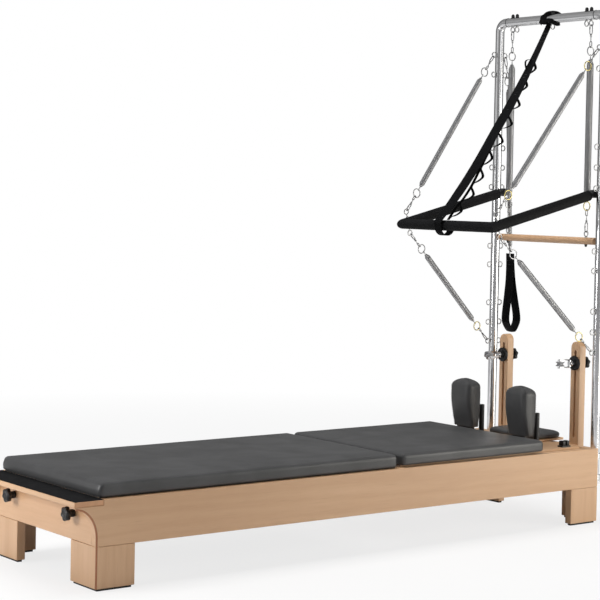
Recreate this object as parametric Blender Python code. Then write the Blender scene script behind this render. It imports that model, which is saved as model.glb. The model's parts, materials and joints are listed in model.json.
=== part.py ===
"""Pilates reformer with a tower: a maple frame on four legs, a rolling carriage, a conversion mat, two
slotted risers and a steel tower that carries springs, a push-through bar and a roll-down bar.
Metres, +Z up. +X runs from the foot end to the head end, -Y is the near side."""

import math

import bmesh
import bpy
from mathutils import Matrix, Vector

# Clearances
gap = 0.0003            # between pieces that touch
merge = 1.0e-6          # points closer than this are one

# Wooden frame
frame_length = 2.36     # foot legs' front face to head board's back face
frame_width = 0.731     # over the rails' outer faces
pad_height = 0.008      # rubber under the legs
rail_underside = 0.15   # floor to the rails' lower edge
rail_height = 0.158
board_thickness = 0.033
board_rounding = 0.003
foot_overhang = 0.083   # rails and standing platform past the foot legs
cove_height = 0.104     # of the hollow that rounds the rails' foot ends
leg_length = 0.15       # along the rail
leg_width = 0.172       # across the frame
pad_inset = 0.008
platform_thickness = 0.018
platform_depth = 0.11
grip_thickness = 0.002
grip_margin = 0.002

# Tracks and spring bar
track_thickness = 0.003
track_flange = 0.034    # level part that the wheels roll on
track_depth = 0.045     # upright part against the rail
spring_bar_x = 0.12     # from the legs' front face
spring_bar_width = 0.03
spring_bar_drop = 0.03  # under the rails' top
spring_bar_thickness = 0.012
spring_count = 5
spring_pitch = 0.085
spring_hook_radius = 0.005
spring_hook_height = 0.022

# Carriage
carriage_setback = 0.297 # carriage pad's head edge, before the head board's back face
carriage_pad_length = 0.74
pad_thickness = 0.049
pad_rounding = 0.012
pad_margin = 0.0105     # pad's sides inside the rails' outer faces
pad_lift = 0.007        # pads' undersides over the rails' top
deck_x = 0.01           # deck's foot edge behind the pad's
deck_reach = 0.232      # deck's head edge behind the pad's
deck_thickness = 0.025
deck_clearance = 0.0075 # to the rails' inner faces
wheel_radius = 0.025
wheel_width = 0.02
wheel_bore = 0.0045
wheel_inset = 0.009     # wheel's outer face from the deck's side
wheel_x_foot = 0.07     # wheel centres from the deck's two ends
wheel_x_head = 0.09
wheel_drop = 0.005      # wheel's top under the deck
axle_clearance = 0.0001
lug_thickness = 0.01
lug_length = 0.034
coil_radius = 0.0105
coil_length = 0.58
coil_rest = 0.0215      # springs' axes under the deck
anchor_length = 0.03
anchor_thickness = 0.004
post_setback = 0.131    # strap posts, behind the carriage pad
post_inset = 0.1955
post_radius = 0.0115
post_height = 0.129
cleat_setback = 0.172
cleat_inset = 0.0735
cleat_length = 0.05
cleat_width = 0.03
cleat_height = 0.028

# Shoulder rests and headrest
rest_overlap = 0.004    # rests' foot face, over the carriage pad's end
rest_inset = 0.1955     # rests' middle inside the rails' outer faces
rest_width = 0.122
rest_depth = 0.080      # at the shoulder
rest_foot_depth = 0.044 # at the bottom
rest_foot_back = 0.024  # bottom's foot face behind the shoulder's
rest_low = 0.043        # above the carriage deck
rest_height = 0.202
rest_crown = 0.034      # height of the rounded top
rest_corner = 0.018
bracket_thickness = 0.005
bracket_width = 0.06
bracket_foot = 0.026
bracket_peg_radius = 0.006
bracket_peg_length = 0.015
peg_clearance = 0.0005
headrest_setback = 0.126 # headrest's foot edge, behind the carriage pad
headrest_length = 0.195
headrest_width = 0.280
headrest_thickness = 0.032
headrest_rounding = 0.014
flap_thickness = 0.010

# Conversion mat
mat_x = 0.02
mat_end_gap = 0.023     # to the carriage pad
mat_board_inset = 0.03
mat_board_side = 0.014

# Risers
riser_inset = 0.1455    # riser's middle inside the rails' outer faces
riser_width = 0.052
riser_depth = 0.036
riser_top = 0.738       # above the floor
slot_width = 0.011
slot_foot = 0.335
slot_margin = 0.036     # slot's top under the riser's
hub_z = 0.648
hub_radius = 0.03
hub_thickness = 0.016
hub_bolt_radius = 0.0045
hub_neck_radius = 0.011
hub_neck_length = 0.018
fork_length = 0.066
fork_spread = 0.028
fork_width = 0.015
fork_thickness = 0.0035
sheave_radius = 0.0185
sheave_width = 0.018
sheave_bore = 0.0035
sheave_groove = 0.006
sheave_setback = 0.013  # axle from the fork's tips
far_fork_turn = -55.0   # degrees about the hub's axis
knob_radius = 0.0265
knob_lobes = 6
knob_lobe_depth = 0.005
knob_thickness = 0.02
knob_stem_radius = 0.0125
knob_stem_length = 0.012
stud_radius = 0.005
platform_knob_inset = 0.1515
platform_knob_z = 0.242
platform_knob_stem = 0.020

# Tower
tower_offset = 0.028    # uprights' axes past the head board
tower_inset = 0.0465
tower_z = 2.099         # crossbar's axis
tower_foot = 0.165
tube_radius = 0.019
tube_wall = 0.002
elbow_radius = 0.038
seam_inset = 0.053      # crossbar's seams inside the uprights' axes
eye_reach = 0.033       # eye centres from the tubes' axes
eye_radius = 0.011
eye_wire = 0.0025
bolt_radius = 0.003
# Eyes in the uprights, under the crossbar
upright_eye_drops = (0.140, 0.226, 0.548, 0.634, 0.720, 0.979, 1.061, 1.229, 1.315, 1.399)
crossbar_eye_insets = (0.081, 0.108)  # inside the uprights' axes
middle_eye_y = -0.010
acorn_radius = 0.0075
acorn_height = 0.012
bracket_plate_thickness = 0.006
bracket_plate_width = 0.075
bracket_plate_height = 0.13
collar_thickness = 0.006
collar_height = 0.022
collar_spacing = 0.09

# Push-through bar
pivot_drop = 0.742      # under the crossbar
arm_inset = 0.041       # bar's arms inside the uprights' axes
arm_reach = 0.562       # pivots to the bar's far side, level
arm_drop = 0.1415
bar_bend = 0.024
bar_tube_radius = 0.0125
foam_radius = 0.0215
foam_end = 0.03         # foam stops this far before the pivots
pin_radius = 0.006
pin_clearance = 0.0001
pin_depth = 0.010       # the pins end this far past the arms' middle
hub_sleeve = 0.0145     # half width of the arms' end bosses
bar_eye_reach = 0.046

# Springs of the tower
tower_coil_radius = 0.012
wide_coil_radius = 0.015 # of the roll-down bar's springs
slim_coil_radius = 0.010
coil_end = 0.6          # springs' end radius over their body's
coil_taper = 1.2        # length of the narrowing over the radius
ring_radius = 0.0185
ring_wire = 0.002
neck_radius = 0.003
hook_length = 0.078
long_hook_length = 0.095 # of the vertical springs
neck_length = 0.022     # of the springs' ends between ring and coil
hook_radius = 0.0075
hook_wire = 0.002
dowel_radius = 0.015
dowel_overhang = 0.054  # past its eyes
dowel_drop = 0.939      # under the crossbar
dowel_eye_inset = 0.081 # inside the uprights' axes
arm_lean = 2.8          # degrees, where the hanging springs rest against the eyes
arm_spring_length = 0.87
hand_loop_length = 0.352
hand_loop_width = 0.08
strap_width = 0.05
strap_thickness = 0.003
hang_inset = 0.016      # hanging springs' hooks lean past the eyes below them

# Safety strap
safety_y = 0.0245
safety_width = 0.050
chain_width = 0.016     # narrow webbing that carries the small loops
chain_count = 9
chain_start = 0.22      # share of the strap's length
chain_end = 0.93
chain_loop = 0.021      # loops' radius
strap_swing = 0.04      # largest offset from the line between the two bars
# Routes as (share of the line's length, share of the swing towards the foot end)
band_path = ((0.0, -0.52), (0.1, -0.55), (0.22, -0.85), (0.35, -0.95), (0.46, -0.6), (0.6, -0.175),
             (0.75, 0.025), (0.86, 0.325), (0.92, 0.6), (1.0, 0.6625))
chain_path = ((0.42, -0.7125), (0.52, -0.825), (0.62, -1.05), (0.82, -1.05), (0.92, -0.85), (1.0, -0.7125))
bight_drop = 0.031      # webbing's slack below the push-through bar

# Derived places
rail_top = rail_underside + rail_height
outer_face = frame_width / 2
inner_face = outer_face - board_thickness
riser_y = outer_face - riser_inset
platform_knob_y = outer_face - platform_knob_inset
rest_y = outer_face - rest_inset
post_y = outer_face - post_inset
cleat_y = outer_face - cleat_inset
tower_y = outer_face - tower_inset
seam_y = tower_y - seam_inset
arm_y = tower_y - arm_inset
dowel_eye_y = tower_y - dowel_eye_inset
eye_sides = [side * (tower_y - inset) for side in (-1, 1) for inset in crossbar_eye_insets]
crossbar_eye_places = sorted([*eye_sides, middle_eye_y])
upright_eye_heights = tuple(tower_z - drop for drop in upright_eye_drops)
pivot_z = tower_z - pivot_drop
dowel_z = tower_z - dowel_drop
pad_bottom = rail_top + pad_lift
pad_top = pad_bottom + pad_thickness
arm_full_length = arm_spring_length + hand_loop_length
head_reach = (tower_offset + eye_reach + math.sin(math.radians(arm_lean)) * arm_full_length
              + hand_loop_width / 2)
foot_x = foot_overhang - (foot_overhang + frame_length + head_reach) / 2
head_x = foot_x + frame_length
tower_x = head_x + tower_offset
pad_head_x = head_x - carriage_setback
pad_foot_x = pad_head_x - carriage_pad_length
deck_foot_x = pad_foot_x + deck_x
deck_head_x = pad_head_x + deck_reach
deck_side = inner_face - deck_clearance
deck_top = pad_bottom - gap
deck_bottom = deck_top - deck_thickness
wheel_z = deck_bottom - wheel_drop - wheel_radius
track_top = wheel_z - wheel_radius - gap
hook_slack = eye_radius * math.cos(math.pi / 8) - eye_wire - hook_wire - gap
sides = (("near", -1), ("far", 1))


def clear_scene():
    for item in list(bpy.data.objects):
        bpy.data.objects.remove(item, do_unlink=True)


def finish(name, colour, roughness, metallic=0.0):
    material = bpy.data.materials.new(name)
    material.use_nodes = True
    shader = material.node_tree.nodes["Principled BSDF"]
    shader.inputs["Base Color"].default_value = (*colour, 1.0)
    shader.inputs["Roughness"].default_value = roughness
    shader.inputs["Metallic"].default_value = metallic
    return material


def make_object(name, mesh, material, cutter=False):
    mesh.materials.clear()
    mesh.materials.append(material)
    item = bpy.data.objects.new(name, mesh)
    bpy.context.scene.collection.objects.link(item)
    if cutter:
        item.hide_render = True
        item.display_type = "WIRE"
    return item


def from_bmesh(name, shape, material, cutter=False):
    """A closed object from a bmesh: doubled points merged, faces out, round parts smooth."""
    bmesh.ops.remove_doubles(shape, verts=shape.verts, dist=merge)
    bmesh.ops.recalc_face_normals(shape, faces=shape.faces)
    mesh = bpy.data.meshes.new(name)
    shape.to_mesh(mesh)
    shape.free()
    mesh.shade_smooth()
    mesh.set_sharp_from_angle(angle=math.radians(35))
    return make_object(name, mesh, material, cutter)


def block(name, low, high, material, rounding=0.0, segments=2, cutter=False):
    """A box between two corners, with all its edges rounded."""
    shape = bmesh.new()
    size = Vector(high) - Vector(low)
    place = Matrix.Translation((Vector(high) + Vector(low)) / 2) @ Matrix.Diagonal((*size, 1))
    bmesh.ops.create_cube(shape, size=1.0, matrix=place)
    if rounding:
        bmesh.ops.bevel(shape, geom=shape.edges[:], offset=rounding, segments=segments,
                        profile=0.5, affect="EDGES")
    return from_bmesh(name, shape, material, cutter)


def slab(name, outline, axis, start, end, material, rounding=0.0, cutter=False):
    """A flat outline in the other two axes, extruded along an axis from start to end."""
    shape = bmesh.new()
    place = {"X": lambda u, v: (start, u, v), "Y": lambda u, v: (u, start, v),
             "Z": lambda u, v: (u, v, start)}[axis]
    face = shape.faces.new([shape.verts.new(place(u, v)) for u, v in outline])
    pulled = bmesh.ops.extrude_face_region(shape, geom=[face])["geom"]
    way = Vector([(end - start) * (letter == axis) for letter in "XYZ"])
    bmesh.ops.translate(shape, vec=way, verts=[v for v in pulled if isinstance(v, bmesh.types.BMVert)])
    if rounding:
        bmesh.ops.remove_doubles(shape, verts=shape.verts, dist=merge)
        sharp = [edge for edge in shape.edges if edge.calc_face_angle(0) > math.radians(30)]
        bmesh.ops.bevel(shape, geom=sharp, offset=rounding, segments=2, profile=0.5, affect="EDGES")
    return from_bmesh(name, shape, material, cutter)


def turned(name, profile, centre, axis, material, steps=20, cutter=False):
    """A profile of (radius, height) points spun about an axis. A closed loop has a bore."""
    shape = bmesh.new()
    points = [shape.verts.new((radius, 0, height)) for radius, height in profile]
    edges = [shape.edges.new(pair) for pair in zip(points, points[1:])]
    if profile[0][0] > 0:
        edges.append(shape.edges.new((points[-1], points[0])))
    bmesh.ops.spin(shape, geom=points + edges, axis=(0, 0, 1), cent=(0, 0, 0),
                   angle=math.tau, steps=steps, use_merge=True)
    turn = Vector((0, 0, 1)).rotation_difference(Vector(axis)).to_matrix().to_4x4()
    bmesh.ops.transform(shape, matrix=Matrix.Translation(centre) @ turn, verts=shape.verts)
    return from_bmesh(name, shape, material, cutter)


def rod(name, start, end, radius, material, steps=12, cutter=False):
    """A solid cylinder between two points."""
    way = Vector(end) - Vector(start)
    profile = [(0, 0), (radius, 0), (radius, way.length), (0, way.length)]
    return turned(name, profile, start, way.normalized(), material, steps, cutter)


def plane_normal(points):
    """A direction across the plane that a bent line lies in."""
    first = (points[1] - points[0]).normalized()
    for start, end in zip(points[1:], points[2:]):
        turn = first.cross((end - start).normalized())
        if turn.length > 0.001:
            return turn.normalized()
    return first.orthogonal().normalized()


def tube(name, points, radius, material, closed=False, sides=8, bore=0.0, cutter=False):
    """A round bar that follows a list of points in one plane, hollow where it has a bore."""
    shape = bmesh.new()
    points = [Vector(point) for point in points]
    normal = plane_normal(points)
    last = len(points) - 1

    def ring(index, size):
        before = points[index - 1] if index or closed else points[0]
        after = points[(index + 1) % len(points)] if index < last or closed else points[last]
        other = (after - before).normalized().cross(normal)
        angles = [math.tau * side / sides for side in range(sides)]
        return [shape.verts.new(points[index] + size * (math.cos(a) * normal + math.sin(a) * other))
                for a in angles]

    def bridge(first, second):
        for side in range(sides):
            after = (side + 1) % sides
            shape.faces.new((first[side], first[after], second[after], second[side]))

    skins = [[ring(index, size) for index in range(len(points))] for size in (radius, bore) if size]
    for rings in skins:
        for first, second in zip(rings, rings[1:]):
            bridge(first, second)
        if closed:
            bridge(rings[-1], rings[0])
    if not closed and bore:
        bridge(skins[0][0], skins[1][0])
        bridge(skins[0][-1], skins[1][-1])
    elif not closed:
        shape.faces.new(skins[0][0])
        shape.faces.new(skins[0][-1])
    return from_bmesh(name, shape, material, cutter)


def circle(centre, radius, across, along, count=10, start=0.0, sweep=math.tau):
    """Points on a circle, or on an arc, in the plane of two unit directions."""
    whole = abs(sweep - math.tau) < 1.0e-9
    steps = count if whole else count - 1
    angles = [start + sweep * step / steps for step in range(count)]
    return [Vector(centre) + radius * (math.cos(a) * Vector(across) + math.sin(a) * Vector(along))
            for a in angles]


def combine(base, others, operation):
    """A Boolean of one object with helpers, which stay as hidden operands."""
    group = bpy.data.collections.new(f"{base.name}_{operation.lower()}")
    for other in others:
        other.hide_render = True
        other.display_type = "WIRE"
        group.objects.link(other)
    modifier = base.modifiers.new(group.name, "BOOLEAN")
    modifier.operation = operation
    modifier.operand_type = "COLLECTION"
    modifier.collection = group
    modifier.solver = "EXACT"
    return base


def fuse(base, others):
    return combine(base, others, "UNION")


def cut(base, others):
    return combine(base, others, "DIFFERENCE")


def carry(name, place, items):
    """Parents pieces to an empty on their joint's axis, with the pieces' origins there."""
    holder = bpy.data.objects.new(name, None)
    holder.location = place
    bpy.context.scene.collection.objects.link(holder)
    for item in items:
        item.data.transform(Matrix.Translation(-Vector(place)))
        item.parent = holder
    return holder


def arc(centre, radius_u, radius_v, start, end, count):
    """(u, v) points on an elliptical arc between two angles in degrees."""
    angles = [math.radians(start + (end - start) * step / (count - 1)) for step in range(count)]
    return [(centre[0] + radius_u * math.cos(a), centre[1] + radius_v * math.sin(a)) for a in angles]


def rails(wood):
    """Side rails: a hollow rounds each foot end, and a rebate takes the standing platform."""
    tip = foot_x - foot_overhang
    rebate = rail_top - platform_thickness - grip_thickness - gap
    cove_bottom = rebate - 0.004 - cove_height
    cove = arc((tip, cove_bottom), foot_overhang, cove_height, 90, 0, 11)
    outline = [(head_x, rail_underside), (head_x, rail_top), (tip + platform_depth + gap, rail_top),
               (tip + platform_depth + gap, rebate), (tip, rebate), *cove, (foot_x, rail_underside)]
    for label, side in sides:
        slab(f"rail_{label}", outline, "Y", side * inner_face, side * frame_width / 2, wood,
             rounding=0.0015)


def legs(wood, rubber):
    """Four legs of two planks in an L, each on a rubber pad."""
    outer = frame_width / 2
    for end, corner, way in (("foot", foot_x, 1), ("head", head_x, -1)):
        for label, side in sides:
            def outline(inset):
                planks = board_thickness - inset
                points = ((inset, outer - inset), (leg_length - inset, outer - inset),
                          (leg_length - inset, outer - planks), (planks, outer - planks),
                          (planks, outer - leg_width + inset), (inset, outer - leg_width + inset))
                return [(corner + way * x, side * y) for x, y in points]
            slab(f"leg_{end}_{label}", outline(0.0), "Z", pad_height, rail_underside - gap, wood,
                 rounding=0.002)
            slab(f"foot_pad_{end}_{label}", outline(pad_inset), "Z", 0.0, pad_height - gap, rubber)


def end_boards(wood):
    side = inner_face - gap
    low = rail_underside
    top = rail_top - platform_thickness - grip_thickness - 2 * gap
    front = block("front_board", (foot_x, -side, low), (foot_x + board_thickness, side, top), wood,
                  rounding=board_rounding / 2, segments=1)
    studs = [rod(f"stud_hole_{label}", (foot_x - 0.01, way * platform_knob_y, platform_knob_z),
                 (foot_x + board_thickness + 0.01, way * platform_knob_y, platform_knob_z),
                 stud_radius + gap, wood, cutter=True) for label, way in sides]
    cut(front, studs)
    block("head_board", (head_x - board_thickness, -side, low), (head_x, side, rail_top), wood,
          rounding=board_rounding / 2, segments=1)


def standing_platform(wood, grip):
    tip = foot_x - foot_overhang
    top = rail_top - grip_thickness - gap
    half = frame_width / 2
    block("standing_platform", (tip, -half, top - platform_thickness),
          (tip + platform_depth, half, top), wood, rounding=0.002)
    block("platform_grip", (tip + grip_margin, -half + grip_margin, top + gap),
          (tip + platform_depth - grip_margin, half - grip_margin, rail_top), grip)


def tracks(aluminium):
    """An angle along each rail's inner face, between the end boards."""
    start = foot_x + board_thickness + gap
    end = head_x - board_thickness - gap
    for label, side in sides:
        wall = side * (inner_face - gap)
        lip = side * (inner_face - gap - track_flange)
        web = side * (inner_face - gap - track_thickness)
        low = track_top - track_thickness
        outline = [(wall, low), (lip, low), (lip, track_top), (web, track_top),
                   (web, low + track_depth), (wall, low + track_depth)]
        slab(f"track_{label}", outline, "X", start, end, aluminium)


def spring_bar(steel):
    x = foot_x + spring_bar_x
    half = inner_face - track_thickness - 2 * gap
    top = rail_top - spring_bar_drop
    bar = block("spring_bar", (x, -half, top - spring_bar_thickness),
                (x + spring_bar_width, half, top), steel, rounding=0.0015, segments=1)
    hooks = [rod(f"bar_hook_{index}", (x + spring_bar_width / 2, y, top - spring_bar_thickness / 2),
                 (x + spring_bar_width / 2, y, top + spring_hook_height), spring_hook_radius, steel)
             for index, y in enumerate(spring_places())]
    fuse(bar, hooks)


def spring_places():
    return [spring_pitch * (index - (spring_count - 1) / 2) for index in range(spring_count)]


def wheel_places():
    along = (deck_foot_x + wheel_x_foot, deck_head_x - wheel_x_head)
    return [(end, label, x, side) for end, x in zip(("foot", "head"), along) for label, side in sides]


def carriage_deck(wood, black):
    """The carriage's board, with wheel lugs and axles below, and strap posts and rope cleats on top."""
    deck = block("carriage_deck", (deck_foot_x, -deck_side, deck_bottom),
                 (deck_head_x, deck_side, deck_top), wood, rounding=0.002, segments=1)
    pieces = []
    outer = deck_side - wheel_inset
    lug_face = outer - wheel_width - 2 * gap
    for end, label, x, side in wheel_places():
        low = (x - lug_length / 2, min(side * lug_face, side * (lug_face - lug_thickness)),
               wheel_z - lug_length / 3)
        high = (x + lug_length / 2, max(side * lug_face, side * (lug_face - lug_thickness)),
                deck_bottom + deck_thickness / 2)
        pieces.append(block(f"lug_{end}_{label}", low, high, black))
        pieces.append(rod(f"axle_{end}_{label}", (x, side * (lug_face - lug_thickness / 2), wheel_z),
                          (x, side * (outer + 0.003), wheel_z), wheel_bore - axle_clearance, black))
    for label, side in sides:
        x = pad_head_x + post_setback
        pieces.append(rod(f"strap_post_{label}", (x, side * post_y, deck_bottom + deck_thickness / 2),
                          (x, side * post_y, deck_top + post_height), post_radius, black, steps=16))
        x = pad_head_x + cleat_setback
        y = side * cleat_y
        pieces.append(block(f"rope_cleat_{label}",
                            (x - cleat_length / 2, y - cleat_width / 2, deck_top - 0.004),
                            (x + cleat_length / 2, y + cleat_width / 2, deck_top + cleat_height), black,
                            rounding=0.005, segments=1))
    fuse(deck, pieces)
    holes = [rod(f"peg_hole_{label}", (peg_x(), side * rest_y, deck_top - bracket_peg_length - 0.001),
                 (peg_x(), side * rest_y, deck_top + 0.01), bracket_peg_radius + peg_clearance, wood,
                 cutter=True) for label, side in sides]
    return cut(deck, holes)


def peg_x():
    """Where the pegs of the shoulder rests' brackets stand."""
    return pad_head_x - rest_overlap + rest_foot_back + rest_foot_depth / 2


def carriage_pad(leather):
    half = frame_width / 2 - pad_margin
    return block("carriage_pad", (pad_foot_x, -half, pad_bottom), (pad_head_x, half, pad_top),
                 leather, rounding=pad_rounding, segments=3)


def carriage_springs(steel):
    """Unhooked springs under the deck, on their anchor plate, each with a hook eye at its foot end."""
    anchor_x = deck_foot_x + coil_length + 0.06
    z = deck_bottom - coil_rest
    half = spring_pitch * (spring_count + 1) / 2
    plate = block("carriage_springs", (anchor_x, -half, z - coil_radius),
                  (anchor_x + anchor_thickness, half, deck_bottom - gap), steel)
    foot = block("anchor_foot", (anchor_x, -half, deck_bottom - gap - anchor_thickness),
                 (anchor_x + anchor_length, half, deck_bottom - gap), steel)
    pieces = [foot]
    for index, y in enumerate(spring_places()):
        start = anchor_x - coil_length
        pieces.append(coil(f"spring_{index}", (start, y, z), (anchor_x + anchor_thickness / 2, y, z),
                           coil_radius, steel))
        pieces.append(tube(f"spring_eye_{index}",
                           circle((start - hook_radius, y, z), hook_radius + hook_wire,
                                  (1, 0, 0), (0, 0, 1), 8), hook_wire, steel, closed=True, sides=5))
    return fuse(plate, pieces)


def coil(name, start, end, radius, material):
    """The envelope of a close-wound spring, drawn in at both ends."""
    length = (Vector(end) - Vector(start)).length
    taper = coil_taper * radius
    profile = [(0.0, 0.0), (radius * coil_end, 0.0), (radius, taper), (radius, length - taper),
               (radius * coil_end, length), (0.0, length)]
    way = (Vector(end) - Vector(start)).normalized()
    return turned(name, profile, start, way, material, steps=10)


def wheels(nylon):
    outer = deck_side - wheel_inset
    made = {}
    for end, label, x, side in wheel_places():
        inner_edge = outer - wheel_width
        crown = wheel_radius - 0.0015
        profile = [(wheel_bore, 0), (crown, 0), (wheel_radius, 0.003), (wheel_radius, wheel_width - 0.003),
                   (crown, wheel_width), (wheel_bore, wheel_width)]
        name = f"wheel_{end}_{label}"
        made[name] = turned(name, profile, (x, side * inner_edge, wheel_z), (0, side, 0), nylon, steps=24)
        carry(f"axis_{name}", (x, side * (inner_edge + wheel_width / 2), wheel_z), [made[name]])
    return made


def conversion_mat(leather, board):
    """A long upholstered board that lies loose on the rails between the platform and the carriage."""
    start = foot_x + mat_x
    end = pad_foot_x - mat_end_gap
    half = frame_width / 2 - pad_margin
    mat = block("conversion_mat", (start, -half, pad_bottom), (end, half, pad_top), leather,
                rounding=pad_rounding, segments=3)
    base = block("mat_board", (start + mat_board_inset, mat_board_side - half, rail_top + gap),
                 (end - mat_board_inset, half - mat_board_side, pad_bottom + 0.004), board)
    return fuse(mat, [base])


def lofted(name, sections, corner, material, steps=4):
    """A closed skin over level rounded rectangles, each given as (z, x low, x high, y, half width)."""
    shape = bmesh.new()
    rings = []
    for z, low, high, y, half in sections:
        radius = min(corner, (high - low) / 2.1, half / 1.1)
        ring = []
        for turn, (u, v) in enumerate(((1, 1), (-1, 1), (-1, -1), (1, -1))):
            x = high - radius if u > 0 else low + radius
            across = y + v * (half - radius)
            ring += [shape.verts.new((x + radius * math.cos(a), across + radius * math.sin(a), z))
                     for a in [math.radians(90 * (turn + step / steps)) for step in range(steps + 1)]]
        rings.append(ring)
    for first, second in zip(rings, rings[1:]):
        for step, start in enumerate(first):
            after = (step + 1) % len(first)
            shape.faces.new((start, first[after], second[after], second[step]))
    shape.faces.new(reversed(rings[0]))
    shape.faces.new(rings[-1])
    return from_bmesh(name, shape, material)


def rest_sections(y):
    """Levels of a shoulder rest: narrow below, leaning to the foot end above, with a rounded crown."""
    front = pad_head_x - rest_overlap
    low = deck_top + rest_low
    high = low + rest_height
    shoulder = high - rest_crown
    half = rest_width / 2
    sections = [(low, 0.0, 0.8), (low + 0.007, 0.0, 0.97), (low + 0.25 * (shoulder - low), 0.25, 0.98),
                (low + 0.6 * (shoulder - low), 0.75, 1.0), (shoulder, 1.0, 1.0)]
    sections += [(shoulder + rest_crown * math.sin(math.radians(a)), 1.0, math.cos(math.radians(a)))
                 for a in (25, 45, 62, 75, 84)]
    levels = []
    for z, rise, share in sections:
        start = front + rest_foot_back * (1 - rise)
        end = front + rest_foot_back + rest_foot_depth
        end += rise * (rest_depth - rest_foot_back - rest_foot_depth)
        trim = (1 - share) * (end - start) * 0.42
        levels.append((z, start + trim, end - trim, y, half * share))
    return levels


def shoulder_rests(leather, steel):
    """Upright cushions that lean over the pad's end, each on a bracket with a peg in the carriage's deck."""
    for label, side in sides:
        y = side * rest_y
        cushion = lofted(f"shoulder_rest_{label}", rest_sections(y), rest_corner, leather)
        half = bracket_width / 2
        start = peg_x() - bracket_foot / 2
        low = deck_top + gap
        under = deck_top + rest_low
        foot = block(f"bracket_foot_{label}", (start, y - half, low),
                     (start + bracket_foot, y + half, low + bracket_thickness), steel)
        wall = block(f"bracket_wall_{label}", (peg_x() - bracket_thickness / 2, y - half, low),
                     (peg_x() + bracket_thickness / 2, y + half, under + 0.004), steel)
        seat = block(f"bracket_seat_{label}", (start - 0.005, y - half - 0.01, under - bracket_thickness),
                     (start + bracket_foot + 0.005, y + half + 0.01, under + 0.001), steel)
        peg = rod(f"bracket_peg_{label}", (peg_x(), y, deck_top - bracket_peg_length),
                  (peg_x(), y, deck_top + bracket_thickness), bracket_peg_radius, steel)
        fuse(cushion, [foot, wall, seat, peg])


def headrest(wood, leather):
    """A hinged flap on the deck with its cushion, between the strap posts."""
    start = pad_head_x + headrest_setback
    half = headrest_width / 2
    flap_low = deck_top + gap
    flap_top = flap_low + flap_thickness
    flap = block("headrest_flap", (start, -half, flap_low), (start + headrest_length, half, flap_top),
                 wood, rounding=0.002, segments=1)
    pad = block("headrest_pad", (start, -half, flap_top + gap),
                (start + headrest_length, half, flap_top + gap + headrest_thickness), leather,
                rounding=headrest_rounding, segments=3)
    carry("axis_headrest", (start, 0, flap_low + flap_thickness / 2), [flap, pad])


def star_knob(name, base, way, stem, material, bore=0.0):
    """A lobed knob on a stem, on a face at base, pointing along way, bored for its bolt or with a stud."""
    count = knob_lobes * 4
    rim = [(knob_radius - knob_lobe_depth * (1 - math.cos(knob_lobes * math.tau * step / count)) / 2)
           for step in range(count)]
    outline = [(radius * math.cos(math.tau * step / count), radius * math.sin(math.tau * step / count))
               for step, radius in enumerate(rim)]
    shape = bmesh.new()
    layers = ((stem, 0.84), (stem + knob_thickness * 0.25, 1.0), (stem + knob_thickness * 0.7, 1.0),
              (stem + knob_thickness, 0.8))
    rings = [[shape.verts.new((share * u, share * v, height)) for u, v in outline]
             for height, share in layers]
    shape.faces.new(reversed(rings[0]))
    shape.faces.new(rings[-1])
    for low, high in zip(rings, rings[1:]):
        for step in range(count):
            after = (step + 1) % count
            shape.faces.new((low[step], low[after], high[after], high[step]))
    turn = Vector((0, 0, 1)).rotation_difference(Vector(way)).to_matrix().to_4x4()
    bmesh.ops.transform(shape, matrix=Matrix.Translation(base) @ turn, verts=shape.verts)
    knob = from_bmesh(name, shape, material)
    start = Vector(base)
    along = Vector(way)
    neck = rod(f"{name}_stem", start, start + along * (stem + knob_thickness / 2), knob_stem_radius,
               material, steps=14)
    if bore:
        fuse(knob, [neck])
        hole = rod(f"{name}_bore", start - along * 0.01, start + along * (stem + 0.006), bore, material,
                   cutter=True)
        return cut(knob, [hole])
    stud = rod(f"{name}_stud", start - along * (board_thickness * 0.8), start + along * 0.005,
               stud_radius, material, steps=10)
    return fuse(knob, [neck, stud])


def platform_knobs(plastic):
    for label, side in sides:
        name = f"platform_knob_{label}"
        base = (foot_x - gap, side * platform_knob_y, platform_knob_z)
        knob = star_knob(name, base, (-1, 0, 0), platform_knob_stem, plastic)
        carry(f"axis_{name}", base, [knob] + helpers_of(knob))


def helpers_of(item):
    """Every hidden operand of an object's Booleans, so that they move with it."""
    found = []
    for modifier in item.modifiers:
        if modifier.type == "BOOLEAN":
            found.extend(modifier.collection.objects)
    return found


def risers(wood, steel):
    """Slotted wooden posts with round tops, bolted to the head board's back face."""
    front = head_x + gap
    half = riser_width / 2
    slot_top = riser_top - slot_margin
    for label, side in sides:
        y = side * riser_y
        crown = riser_top - half
        outline = [(y - half, rail_underside), (y + half, rail_underside),
                   *arc((y, crown), half, half, 0, 180, 11)]
        post = slab(f"riser_{label}", outline, "X", front, front + riser_depth, wood, rounding=0.002)
        reach = slot_width / 2
        slot = [*arc((y, slot_top - reach), reach, reach, 0, 180, 7),
                *arc((y, slot_foot + reach), reach, reach, 180, 360, 7)]
        cut(post, [slab(f"riser_slot_{label}", slot, "X", front - 0.01, front + riser_depth + 0.01,
                        wood, cutter=True)])
        bolts = [turned(f"riser_bolt_{label}_{index}",
                        [(0, -0.004), (0.009, -0.004), (0.009, 0.003), (0.006, 0.005), (0, 0.005)],
                        (front + riser_depth, y, z), (1, 0, 0), steel, steps=10)
                 for index, z in enumerate((rail_underside + 0.04, rail_top - 0.04))]
        fuse(post, bolts)


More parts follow.
